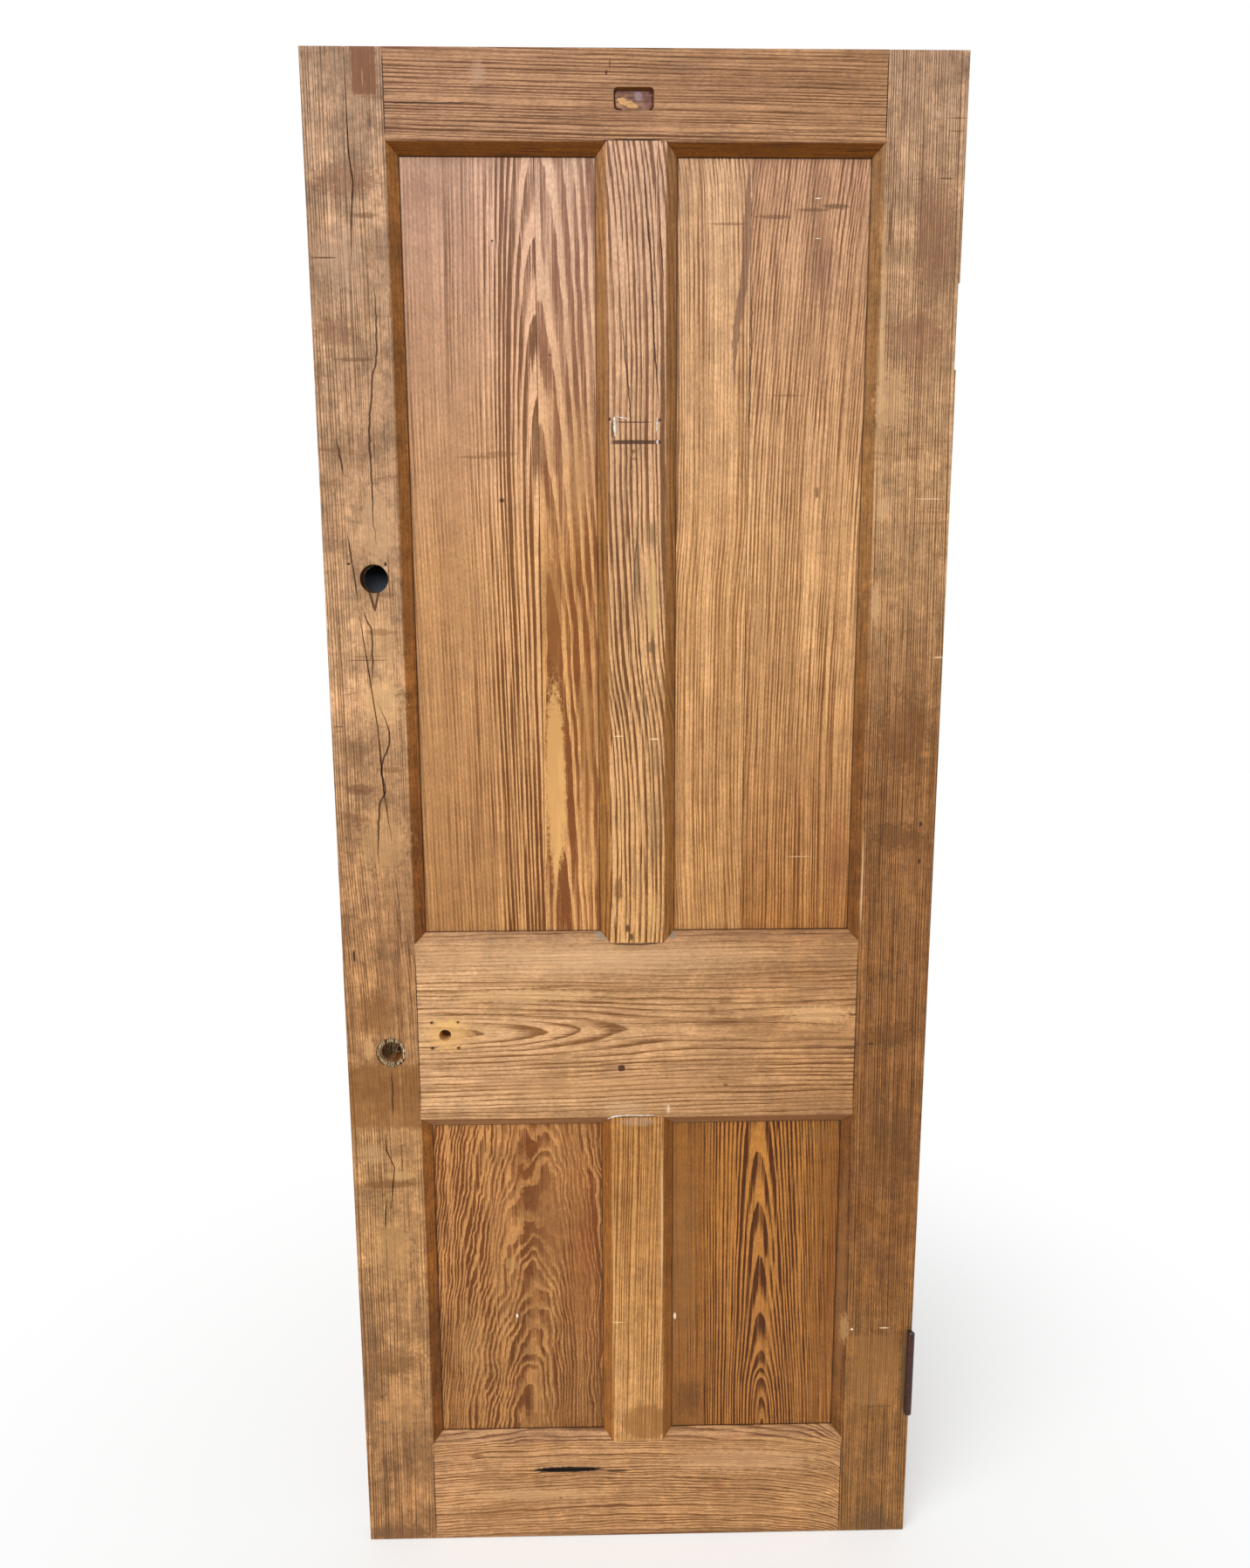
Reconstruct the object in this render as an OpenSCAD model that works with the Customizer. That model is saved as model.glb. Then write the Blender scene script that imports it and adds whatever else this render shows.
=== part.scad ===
// Four-panel pine door leaf with stuck chamfers, wedged through tenons and one butt hinge.
// Millimetres. X runs across the door, Y through its thickness, Z up.
// The origin is the middle of the bottom edge. The face with the hinge knuckle looks towards -Y.

/* [Leaf] */
// Width of the leaf
door_w = 780; // [700:1:860]
// Height of the leaf
door_h = 1981; // [1850:1:2100]
// Thickness of stiles, rails and muntins
door_t = 36; // [32:1:48]

/* [Framing] */
// Flat face of each stile, outer edge to chamfer
stile_face = 95; // [84:1:120]
// Flat face of the top rail
top_rail_face = 99; // [86:1:120]
// Flat face of the lock rail
lock_rail_face = 247; // [220:1:300]
// Flat face of the bottom rail
bottom_rail_face = 155; // [140:1:220]
// Flat face of both muntins
muntin_face = 70; // [62:1:100]
// Height of the lock rail's lower arris above the bottom edge
lock_rail_z = 655; // [500:1:800]

/* [Chamfers and panels] */
// Width of the chamfer on the panel side of every member
chamfer_w = 13.5; // [12:0.5:20]
// Square lip between the chamfer and the panel
panel_lip = 1.5; // [0.5:0.1:3]
// Thickness of the panel boards
panel_t = 12; // [9:0.5:15]
// Depth of the panel groove
groove_d = 10; // [7:0.5:11]
// Room that a panel has to swell in its groove
panel_float = 2; // [1:0.5:4]
// Clearance on each face of a panel in its groove
panel_fit = 0.1; // [0.05:0.05:0.4]
// Width of the outer board in the upper left panel
left_outer_board = 168; // [100:1:180]
// Width of the inner board in the upper right panel
right_inner_board = 98; // [60:1:150]

/* [Tenons and wedges] */
// Thickness of the tenons
tenon_t = 12; // [8:0.5:16]
// Distance from a rail's arris to the nearest tenon
tenon_edge = 8; // [4:1:14]
// Height of the top rail's tenon
top_tenon_h = 56; // [40:1:62]
// Length of the haunch above the top rail's tenon
haunch_l = 14; // [8:1:30]
// Height of each of the lock rail's two tenons
lock_tenon_h = 62; // [45:1:70]
// Height of each of the bottom rail's two tenons
bottom_tenon_h = 44; // [30:1:46]
// Gap between the bottom rail's tenons
bottom_tenon_gap = 34; // [24:1:36]
// Length of a wedge
wedge_l = 66; // [40:1:76]
// Thickness of a wedge at its driven end
wedge_head = 7; // [4:0.5:8]
// Thickness of a wedge at its tip
wedge_tip = 1.5; // [0.5:0.1:3]
// Width of the muntins' stub tenons
stub_w = 50; // [30:1:58]
// Length of the muntins' stub tenons
stub_l = 30; // [15:1:40]
// Room at the bottom of a stub mortise
stub_room = 0.5; // [0.2:0.1:2]

/* [Old lock holes] */
// Distance of the latch hole from the lock stile's edge
latch_inset = 62; // [50:1:68]
// Height of the latch hole above the bottom edge
latch_z = 1377; // [1250:1:1500]
// Diameter of the latch hole
latch_d = 35; // [30:0.5:40]
// Distance of the knob hole from the lock stile's edge
knob_inset = 59; // [50:1:68]
// Height of the knob hole above the lock rail's lower arris
knob_rise = 96; // [95:1:140]
// Diameter of the knob hole
knob_d = 27; // [20:0.5:30]
// Diameter of the chipped rim round the knob hole
knob_rim_d = 41; // [33:0.5:44]
// Depth of the chipped rim
knob_rim_h = 4; // [1:0.5:8]
// Timber left behind the knob and key holes
hole_floor = 9; // [5:1:15]
// Distance of the key hole from the lock stile's arris
key_inset = 37; // [22:1:60]
// Height of the key hole above the lock rail's lower arris
key_rise = 120; // [100:1:146]
// Diameter of the key hole
key_d = 16; // [10:0.5:20]
// Spacing across the rose screw holes
rose_w = 35; // [26:1:40]
// Spacing up the rose screw holes
rose_h = 36; // [26:1:44]
// Diameter of an old screw hole
screw_hole_d = 3; // [2:0.1:4]
// Depth of an old screw hole
screw_hole_h = 14; // [8:1:20]

/* [Recess in the top rail] */
// Width of the recess
recess_w = 47; // [30:1:60]
// Height of the recess
recess_h = 25; // [16:1:30]
// Corner radius of the recess
recess_r = 5; // [2:0.5:7]
// Depth of the recess
recess_d = 5; // [2:0.5:8]
// Distance of the recess from the middle of the door, towards the lock stile
recess_off = 3; // [0:1:60]
// Distance of the recess's middle below the top edge
recess_drop = 54; // [36:1:60]

/* [Hinge] */
// Length of the hinge
hinge_h = 127; // [102:1:152]
// Height of the hinge's lower end above the bottom edge
hinge_z = 198; // [170:1:270]
// Thickness of a hinge leaf
leaf_t = 2.6; // [2:0.1:3.5]
// Gap between the two leaves when folded
leaf_gap = 1.2; // [0.6:0.1:2]
// How far the frame leaf stands proud of the door's edge
leaf_proud = 0.4; // [0:0.1:2]
// How far the leaves run back from the door's face
leaf_reach = 28; // [24:1:30]
// Radius of the knuckle
knuckle_r = 5.1; // [4.5:0.1:6]
// Number of knuckles
knuckle_n = 5; // [3:2:7]
// Gap between neighbouring knuckles, and between knuckle and timber
knuckle_gap = 0.3; // [0.2:0.1:0.6]
// Radius of the hinge pin
pin_r = 2.4; // [2:0.1:3]
// Running clearance of the pin in the knuckles
pin_clear = 0.05; // [0.02:0.01:0.1]
// Radius of the riveted pin ends
pin_head_r = 3.8; // [3.3:0.1:4.3]
// Height of the riveted pin ends
pin_head_h = 1.4; // [0.8:0.1:2]
// Room round the hinge in its housing
housing_room = 0.4; // [0.2:0.1:1]

/* [Hinge screws] */
// Distance of the outer screws from the hinge's ends
screw_end = 15; // [12:1:20]
// Distance of the inner screws from the hinge's ends
screw_inner = 44; // [38:1:48]
// Distance of a screw row from the leaf's front or back edge
screw_edge = 8; // [7:0.5:10]
// Radius of a screw's shank
shank_r = 2.2; // [1.6:0.1:2.4]
// Length of a screw below its head
shank_l = 25; // [15:1:30]
// Radius of a countersunk head
head_r = 4.6; // [4:0.1:5]
// Height of a countersunk head
head_h = 2.2; // [1.4:0.1:2.2]
// Width of the screwdriver slot
slot_w = 1; // [0.6:0.1:1.4]
// Depth of the screwdriver slot
slot_d = 0.8; // [0.4:0.1:1]
// Clearance round a screw in leaf and timber
screw_clear = 0.1; // [0.05:0.05:0.3]

/* [Empty hinge housing] */
// Length of the empty upper housing
empty_h = 100; // [90:1:130]
// Depth of the empty upper housing
empty_d = 2; // [1:0.5:4]
// Distance of the housing's upper end below the top edge
empty_drop = 255; // [180:1:330]

/* [Splits] */
// Width of the lock stile's splits at their widest
split_w = 1.4; // [0.8:0.1:3]
// Depth of the lock stile's splits
split_d = 5; // [2:0.5:8]
// Length of the resin pocket in the bottom rail
pocket_l = 108; // [40:1:160]
// Width of the resin pocket
pocket_w = 4; // [2:0.5:8]
// Depth of the resin pocket
pocket_d = 3; // [1:0.5:6]
// Distance of the pocket from the middle of the door, towards the lock stile
pocket_off = 102; // [80:1:160]
// Height of the pocket above the bottom edge
pocket_z = 110; // [40:1:125]

/* [Hidden] */

// Colours of the timbers and the iron
stile_colour = "#ae8259";
rail_colour = "#b58a5c";
panel_colour = "#a8744a";
wedge_colour = "#8f6a45";
hinge_colour = "#55382d";
steel_colour = "#6d665f";

// How far a cut runs past the face that it opens
over = 1;
$fn = 48;

// Half sizes, and how far the panel face lies below the door's face
half_w = door_w / 2;
half_t = door_t / 2;
chamfer_d = (door_t - panel_t) / 2 - panel_lip;

// Arris lines that bound the panel openings
stile_x = half_w - stile_face;
muntin_x = muntin_face / 2;
top_z = door_h - top_rail_face;
lock_top_z = lock_rail_z + lock_rail_face;

// Panel openings, arris to arris: left, right, lower and upper limits
upper_left = [-stile_x, -muntin_x, lock_top_z, top_z];
upper_right = [muntin_x, stile_x, lock_top_z, top_z];
lower_left = [-stile_x, -muntin_x, bottom_rail_face, lock_rail_z];
lower_right = [muntin_x, stile_x, bottom_rail_face, lock_rail_z];
openings = [upper_left, upper_right, lower_left, lower_right];

// Upper panels' limits across, inside the grooves
groove_in = chamfer_w - groove_d + panel_float;
left_joint_x = -stile_x + groove_in + left_outer_board;
right_joint_x = muntin_x + groove_in + right_inner_board;

// Lower and upper limit of every tenon of each rail
top_tenons = [[top_z + tenon_edge, top_z + tenon_edge + top_tenon_h]];
lock_tenons = [
    [lock_rail_z + tenon_edge, lock_rail_z + tenon_edge + lock_tenon_h],
    [lock_top_z - tenon_edge - lock_tenon_h, lock_top_z - tenon_edge]
];
bottom_upper_z = bottom_rail_face - tenon_edge - bottom_tenon_h;
bottom_lower_z = bottom_upper_z - bottom_tenon_gap - bottom_tenon_h;
bottom_tenons = [
    [bottom_lower_z, bottom_lower_z + bottom_tenon_h],
    [bottom_upper_z, bottom_upper_z + bottom_tenon_h]
];
haunch_z = top_tenons[0][1];

// Places of the old holes
latch_x = -half_w + latch_inset;
knob_x = -half_w + knob_inset;
knob_z = lock_rail_z + knob_rise;
key_x = -stile_x + key_inset;
key_z = lock_rail_z + key_rise;
hole_h = door_t - hole_floor;

// Paths of the lock stile's splits: distance from its outer edge, then height
top_split = [
    [52, door_h + over], [52.5, door_h - 112], [56.5, door_h - 147], [53, door_h - 181], [50, door_h - 238]
];
middle_split = [
    [41, latch_z - 37], [47, latch_z - 87], [53, latch_z - 137], [59, latch_z - 187], [63, latch_z - 267],
    [71, latch_z - 335]
];
lower_split = [
    [47, lock_rail_z - 22], [47, lock_rail_z - 45], [57, lock_rail_z - 70], [53, lock_rail_z - 105],
    [50, lock_rail_z - 132]
];

// Hinge pin's axis, the leaves' planes and the knuckle pitch
pin_x = half_w + leaf_proud - leaf_t - leaf_gap / 2;
pin_y = -half_t - knuckle_r - knuckle_gap;
door_leaf_x = pin_x - leaf_gap / 2 - leaf_t;
frame_leaf_x = pin_x + leaf_gap / 2;
leaf_back_y = leaf_reach - half_t;
hinge_mid_z = hinge_z + hinge_h / 2;
knuckle_h = (hinge_h - (knuckle_n - 1) * knuckle_gap) / knuckle_n;

// Screw places on a leaf: outer pair near the back, inner pair near the knuckle
screw_back_y = leaf_back_y - screw_edge;
screw_front_y = -half_t + screw_edge;
outer_rise = hinge_h / 2 - screw_end;
inner_rise = hinge_h / 2 - screw_inner;
screw_places = [
    [screw_back_y, outer_rise], [screw_front_y, inner_rise],
    [screw_front_y, -inner_rise], [screw_back_y, -outer_rise]
];
empty_mid_z = door_h - empty_drop - empty_h / 2;
empty_floor_x = half_w - empty_d;

// An outline in X and Z, extruded right through the door's thickness
module through(outline) {
    rotate([90, 0, 0]) linear_extrude(door_t + 2 * over, center = true) polygon(outline);
}

// A section in Y and Z, carried along X
module run_x(section, x0, x1) {
    translate([x0, 0, 0]) rotate([90, 0, 90]) linear_extrude(x1 - x0) polygon(section);
}

// A box from one corner to the opposite one
module block(low, high) {
    translate(low) cube(high - low);
}

// A round hole from the front face, as deep as asked
module front_hole(x, z, d, depth) {
    translate([x, depth - half_t, z]) rotate([90, 0, 0]) cylinder(d = d, h = depth + over);
}

// The chamfer's strip of one opening, seen from the front, along a stile or muntin
function side_strip(x, way, low, high) = [
    [x, high], [x + way * chamfer_w, high - chamfer_w],
    [x + way * chamfer_w, low + chamfer_w], [x, low]
];

// The chamfer's strip along a rail's edge, from left to right
function edge_strip(z, way, left, right) = [
    [left, z], [left + chamfer_w, z + way * chamfer_w],
    [right - chamfer_w, z + way * chamfer_w], [right, z]
];

// Points in the opposite order
function turned(points) = [for (i = [len(points) - 1:-1:0]) points[i]];

// Grooves of all four panels, as the boxes that they make together
module grooves() {
    inset = chamfer_w - groove_d;
    y = panel_t / 2 + panel_fit;
    for (o = openings)
        block([o[0] + inset, -y, o[2] + inset], [o[1] - inset, y, o[3] - inset]);
}

// A stile's through mortise with room for its two wedges, on the +X side
module mortise(limits) {
    block([stile_x - over, -tenon_t / 2, limits[0]], [half_w + over, tenon_t / 2, limits[1]]);
    wedge_pair(limits, over);
}

// Wedges above and below one tenon, on the +X side, optionally run on past the edge
module wedge_pair(limits, past = 0) {
    for (side = [[limits[1], 1], [limits[0], -1]]) {
        z = side[0];
        way = side[1];
        rotate([90, 0, 0]) linear_extrude(tenon_t, center = true) polygon([
            [half_w - wedge_l, z], [half_w + past, z],
            [half_w + past, z + way * wedge_head], [half_w, z + way * wedge_head],
            [half_w - wedge_l, z + way * wedge_tip]
        ]);
    }
}

// The top rail's haunches, one bar from stile to stile
module haunch_bar(past = 0) {
    reach = stile_x + haunch_l;
    block([-reach, -tenon_t / 2, haunch_z + wedge_head], [reach, tenon_t / 2, door_h + past]);
}

// Both sides of the door
module both_sides() {
    children();
    mirror([1, 0, 0]) children();
}

// A stile on the +X side, chamfered, grooved and mortised
module stile_blank() {
    section = [
        [half_w, -half_t], [stile_x, -half_t], [stile_x - chamfer_w, chamfer_d - half_t],
        [stile_x - chamfer_w, half_t - chamfer_d], [stile_x, half_t], [half_w, half_t]
    ];
    outline = concat(
        [[half_w, 0], [half_w, door_h], [stile_x, door_h]],
        side_strip(stile_x, -1, lock_top_z, top_z),
        side_strip(stile_x, -1, bottom_rail_face, lock_rail_z),
        [[stile_x, 0]]
    );
    difference() {
        intersection() {
            linear_extrude(door_h) polygon(section);
            through(outline);
        }
        grooves();
        for (limits = concat(top_tenons, lock_tenons, bottom_tenons)) mortise(limits);
        haunch_bar(over);
    }
}

// A rail between the stiles: its face limits, with chamfers on the lower and upper edges as asked
module rail_blank(low, high, low_chamfer, high_chamfer, tenons) {
    low_section = low_chamfer
        ? [[-half_t, low], [chamfer_d - half_t, low - chamfer_w],
           [half_t - chamfer_d, low - chamfer_w], [half_t, low]]
        : [[-half_t, low], [half_t, low]];
    high_section = high_chamfer
        ? [[half_t, high], [half_t - chamfer_d, high + chamfer_w],
           [chamfer_d - half_t, high + chamfer_w], [-half_t, high]]
        : [[half_t, high], [-half_t, high]];
    low_outline = low_chamfer
        ? concat(edge_strip(low, -1, -stile_x, -muntin_x), edge_strip(low, -1, muntin_x, stile_x))
        : [[-stile_x, low], [stile_x, low]];
    high_outline = high_chamfer
        ? concat(edge_strip(high, 1, -stile_x, -muntin_x), edge_strip(high, 1, muntin_x, stile_x))
        : [[-stile_x, high], [stile_x, high]];
    difference() {
        intersection() {
            run_x(concat(low_section, high_section), -stile_x, stile_x);
            through(concat(low_outline, turned(high_outline)));
        }
        grooves();
    }
    for (limits = tenons)
        block([-half_w, -tenon_t / 2, limits[0]], [half_w, tenon_t / 2, limits[1]]);
}

// Blind mortise for a muntin's stub tenon, up or down from a rail's arris
module stub_mortise(z, way) {
    depth = stub_l + stub_room;
    block([-stub_w / 2, -tenon_t / 2, way > 0 ? z - over : z - depth],
          [stub_w / 2, tenon_t / 2, way > 0 ? z + depth : z + over]);
}

// A muntin between two rails' arrises, with a stub tenon at each end
module muntin_blank(low, high) {
    section = [
        [-muntin_x, -half_t], [muntin_x, -half_t],
        [muntin_x + chamfer_w, chamfer_d - half_t], [muntin_x + chamfer_w, half_t - chamfer_d],
        [muntin_x, half_t], [-muntin_x, half_t],
        [-muntin_x - chamfer_w, half_t - chamfer_d], [-muntin_x - chamfer_w, chamfer_d - half_t]
    ];
    outline = concat(side_strip(muntin_x, 1, low, high), turned(side_strip(-muntin_x, -1, low, high)));
    difference() {
        intersection() {
            translate([0, 0, low]) linear_extrude(high - low) polygon(section);
            through(outline);
        }
        grooves();
    }
    block([-stub_w / 2, -tenon_t / 2, low - stub_l], [stub_w / 2, tenon_t / 2, high + stub_l]);
}

// A panel board in one opening, between two limits across
module board(opening, left, right) {
    block([left, -panel_t / 2, opening[2] + groove_in], [right, panel_t / 2, opening[3] - groove_in]);
}

// A panel of one board
module whole_panel(opening) {
    board(opening, opening[0] + groove_in, opening[1] - groove_in);
}

// Wedges of one rail, in both stiles
module rail_wedges(tenons) {
    both_sides() for (limits = tenons) wedge_pair(limits);
}

// The rounded recess in the top rail's face
module top_recess() {
    dx = recess_w / 2 - recess_r;
    dz = recess_h / 2 - recess_r;
    translate([-recess_off, recess_d - half_t, door_h - recess_drop]) rotate([90, 0, 0])
        linear_extrude(recess_d + over) {
            square([2 * dx, recess_h], center = true);
            square([recess_w, 2 * dz], center = true);
            for (x = [-dx, dx], y = [-dz, dz]) translate([x, y]) circle(recess_r);
        }
}

// A split in the lock stile's face along a path, closing to nothing at both ends
module split(path) {
    last = len(path) - 1;
    half = [for (i = [0:last]) i == 0 || i == last ? split_w / 10 : split_w / 2];
    near = [for (i = [0:last]) [path[i][0] - half_w - half[i], path[i][1]]];
    far = [for (i = [0:last]) [path[i][0] - half_w + half[i], path[i][1]]];
    translate([0, split_d - half_t, 0]) rotate([90, 0, 0])
        linear_extrude(split_d + over) polygon(concat(near, turned(far)));
}

// The resin pocket in the bottom rail's face, a long lens
module resin_pocket() {
    long = pocket_l / 2;
    waist = pocket_l / 5;
    half = pocket_w / 2;
    translate([-pocket_off, pocket_d - half_t, pocket_z]) rotate([90, 0, 0])
        linear_extrude(pocket_d + over) polygon([
            [-long, 0], [-waist, -half], [waist, -half], [long, 0], [waist, half], [-waist, half]
        ]);
}

// Pilot holes for four screws in the hanging stile's edge
module pilot_holes(floor_x, mid_z, ratio, radius, depth) {
    for (p = screw_places)
        translate([floor_x - depth, p[0], mid_z + p[1] * ratio])
            rotate([0, 90, 0]) cylinder(r = radius, h = depth + over);
}

// A countersunk screw hole through a leaf; way is the direction in which the countersink opens
module leaf_hole(x, y, z, way) {
    hole_r = shank_r + screw_clear;
    sink_r = head_r + screw_clear;
    translate([x + leaf_t / 2, y, z]) rotate([0, way * 90, 0]) {
        cylinder(r = hole_r, h = leaf_t + 2 * over, center = true);
        translate([0, 0, leaf_t / 2 - head_h]) cylinder(r1 = hole_r, r2 = sink_r, h = head_h);
        translate([0, 0, leaf_t / 2]) cylinder(r = sink_r, h = over);
    }
}

// One leaf with its own knuckles: every second one, starting with the given one
module hinge_leaf(x, first, sink_way) {
    difference() {
        union() {
            block([x, pin_y + knuckle_r + knuckle_gap, hinge_z], [x + leaf_t, leaf_back_y, hinge_z + hinge_h]);
            for (i = [first:2:knuckle_n - 1]) {
                z = hinge_z + i * (knuckle_h + knuckle_gap);
                translate([pin_x, pin_y, z]) cylinder(r = knuckle_r, h = knuckle_h);
                block([x, pin_y, z], [x + leaf_t, -half_t + over, z + knuckle_h]);
            }
        }
        translate([pin_x, pin_y, hinge_z - over]) cylinder(r = pin_r + pin_clear, h = hinge_h + 2 * over);
        for (p = screw_places) leaf_hole(x, p[0], hinge_mid_z + p[1], sink_way);
    }
}

// A slotted countersunk wood screw, its head towards +X
module wood_screw(y, z) {
    translate([door_leaf_x + leaf_t, y, z]) rotate([0, 90, 0]) difference() {
        union() {
            translate([0, 0, -head_h]) cylinder(r1 = shank_r, r2 = head_r, h = head_h);
            translate([0, 0, -head_h - shank_l]) cylinder(r = shank_r, h = shank_l);
        }
        translate([-head_r - over, -slot_w / 2, -slot_d]) cube([2 * (head_r + over), slot_w, slot_d + over]);
    }
}

// Lock stile, with the latch hole, the chipped knob hole and three splits
module lock_stile() {
    color(stile_colour) difference() {
        mirror([1, 0, 0]) stile_blank();
        front_hole(latch_x, latch_z, latch_d, door_t + over);
        front_hole(knob_x, knob_z, knob_d, hole_h);
        front_hole(knob_x, knob_z, knob_rim_d, knob_rim_h);
        for (path = [top_split, middle_split, lower_split]) split(path);
    }
}

// Hanging stile, with the hinge's housing and the empty one of the upper hinge
module hanging_stile() {
    color(stile_colour) difference() {
        stile_blank();
        block([door_leaf_x, -half_t - over, hinge_z - housing_room],
              [half_w + over, leaf_back_y + housing_room, hinge_z + hinge_h + housing_room]);
        pilot_holes(door_leaf_x, hinge_mid_z, 1, shank_r + screw_clear, head_h - leaf_t + shank_l + over);
        block([empty_floor_x, -half_t - over, empty_mid_z - empty_h / 2],
              [half_w + over, leaf_back_y, empty_mid_z + empty_h / 2]);
        pilot_holes(empty_floor_x, empty_mid_z, empty_h / hinge_h, screw_hole_d / 2, screw_hole_h);
    }
}

// Top rail, with its haunches and the recess in its face
module top_rail() {
    color(rail_colour) difference() {
        union() {
            rail_blank(top_z, door_h, true, false, top_tenons);
            haunch_bar();
        }
        stub_mortise(top_z, 1);
        top_recess();
    }
}

// Lock rail, with the key hole and the four screw holes of its rose
module lock_rail() {
    color(rail_colour) difference() {
        rail_blank(lock_rail_z, lock_top_z, true, true, lock_tenons);
        stub_mortise(lock_rail_z, 1);
        stub_mortise(lock_top_z, -1);
        front_hole(key_x, key_z, key_d, hole_h);
        for (x = [-rose_w / 2, rose_w / 2], z = [-rose_h / 2, rose_h / 2])
            front_hole(key_x + x, key_z + z, screw_hole_d, screw_hole_h);
    }
}

// Bottom rail, with its resin pocket
module bottom_rail() {
    color(rail_colour) difference() {
        rail_blank(0, bottom_rail_face, false, true, bottom_tenons);
        stub_mortise(bottom_rail_face, -1);
        resin_pocket();
    }
}

// Muntins
module upper_muntin() {
    color(stile_colour) muntin_blank(lock_top_z, top_z);
}

module lower_muntin() {
    color(stile_colour) muntin_blank(bottom_rail_face, lock_rail_z);
}

// Upper left panel, two boards glued edge to edge
module upper_left_outer_board() {
    color(panel_colour) board(upper_left, upper_left[0] + groove_in, left_joint_x);
}

module upper_left_inner_board() {
    color(panel_colour) board(upper_left, left_joint_x, upper_left[1] - groove_in);
}

// Upper right panel, two boards glued edge to edge
module upper_right_inner_board() {
    color(panel_colour) board(upper_right, upper_right[0] + groove_in, right_joint_x);
}

module upper_right_outer_board() {
    color(panel_colour) board(upper_right, right_joint_x, upper_right[1] - groove_in);
}

// Lower panels, one board each
module lower_left_panel() {
    color(panel_colour) whole_panel(lower_left);
}

module lower_right_panel() {
    color(panel_colour) whole_panel(lower_right);
}

// Wedges
module top_rail_wedges() {
    color(wedge_colour) rail_wedges(top_tenons);
}

module lock_rail_wedges() {
    color(wedge_colour) rail_wedges(lock_tenons);
}

module bottom_rail_wedges() {
    color(wedge_colour) rail_wedges(bottom_tenons);
}

// The leaf screwed to the door, with the end and middle knuckles
module hinge_door_leaf() {
    color(hinge_colour) hinge_leaf(door_leaf_x, 0, 1);
}

// The leaf that goes on the door frame, folded shut
module hinge_frame_leaf() {
    color(hinge_colour) hinge_leaf(frame_leaf_x, 1, -1);
}

// The pin, riveted over at both ends
module hinge_pin() {
    color(steel_colour) translate([pin_x, pin_y, hinge_mid_z]) {
        cylinder(r = pin_r, h = hinge_h, center = true);
        for (way = [-1, 1])
            rotate([0, 90 - way * 90, 0]) translate([0, 0, hinge_h / 2])
                cylinder(r1 = pin_head_r, r2 = pin_r, h = pin_head_h);
    }
}

// The four screws of the door's leaf
module hinge_screws() {
    color(steel_colour) for (p = screw_places) wood_screw(p[0], hinge_mid_z + p[1]);
}

lock_stile();
hanging_stile();
top_rail();
lock_rail();
bottom_rail();
upper_muntin();
lower_muntin();
upper_left_outer_board();
upper_left_inner_board();
upper_right_inner_board();
upper_right_outer_board();
lower_left_panel();
lower_right_panel();
top_rail_wedges();
lock_rail_wedges();
bottom_rail_wedges();
hinge_door_leaf();
hinge_frame_leaf();
hinge_pin();
hinge_screws();
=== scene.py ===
"""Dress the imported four-panel door leaf as old stripped pine, with its worn lock holes and a rusted butt hinge.

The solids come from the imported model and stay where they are. Every timber gets a solid pattern of growth rings,
laid round a pith line of its own, so that faces, chamfers and end grain all belong to one board. Small worn pieces
that the solids leave out, such as torn fibres and paint traces, are surfaces worked out with numpy. Lengths in the
finishes are millimetres in the door's own frame; meshes are in metres.
"""

from __future__ import annotations

import logging
import math
from dataclasses import dataclass
from dataclasses import field
from enum import Enum
from typing import Any

import bpy
import numpy as np
from mathutils import Matrix
from mathutils import Vector


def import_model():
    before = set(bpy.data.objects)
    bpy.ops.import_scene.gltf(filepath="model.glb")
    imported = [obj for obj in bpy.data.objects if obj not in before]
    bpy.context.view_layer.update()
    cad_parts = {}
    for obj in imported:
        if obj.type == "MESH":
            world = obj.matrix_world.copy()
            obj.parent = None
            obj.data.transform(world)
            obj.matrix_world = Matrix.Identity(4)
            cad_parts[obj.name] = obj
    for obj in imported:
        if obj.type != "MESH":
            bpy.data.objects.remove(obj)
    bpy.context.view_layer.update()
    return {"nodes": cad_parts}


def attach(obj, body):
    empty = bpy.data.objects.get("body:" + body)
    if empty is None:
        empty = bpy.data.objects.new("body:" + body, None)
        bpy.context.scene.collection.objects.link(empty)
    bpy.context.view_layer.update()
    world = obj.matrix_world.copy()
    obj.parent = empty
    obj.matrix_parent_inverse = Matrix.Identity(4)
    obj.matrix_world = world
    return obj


LOG = logging.getLogger("door")
MM = 0.001
FACE_Y = -18
PANEL_Y = -6
HEIGHT = 1981
DOOR_BODY = "door"
LATCH = (-328, 1377)
KNOB = (-331, 751)
JOINTS = (-294.4, 294.4)
# A chamfer's tint starts this far from the door's middle plane, and is full a millimetre further in.
CHAMFER_START = 17.6
# No chamfer lies farther from the door's middle than this, sideways and in height.
CHAMFER_SIDE = 330
CHAMFER_RISE = 979
NEAR_BLACK = "#120a06"
DIRT = "#2a170b"
GRIME = "#7c5334"
# Panel rims: dirt with painted shade, a faint halo and a dark line where the panel meets the frame.
RIM_HALO_DIRT_AND_SHADE = "#6a4524"
RIM_LINE_SHADE_AND_DIRT = "#2f1b0c"
WHITE = (1, 1, 1, 1)

Socket = bpy.types.NodeSocket
Path = tuple[tuple[float, float], ...]
Path3 = tuple[tuple[float, float, float], ...]
Tones = tuple[tuple[float, str], ...]
Surface = tuple[np.ndarray, np.ndarray]


def linear(code: str) -> tuple[float, float, float, float]:
    """Turn an sRGB hex colour into linear light.

    Args:
        code: Colour such as "#c09577".

    Returns:
        Linear red, green, blue and an alpha of one.
    """
    parts = [int(code[i:i + 2], 16) / 255 for i in (1, 3, 5)]
    light = [c / 12.92 if c <= 0.04045 else ((c + 0.055) / 1.055) ** 2.4 for c in parts]
    return light[0], light[1], light[2], 1


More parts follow.
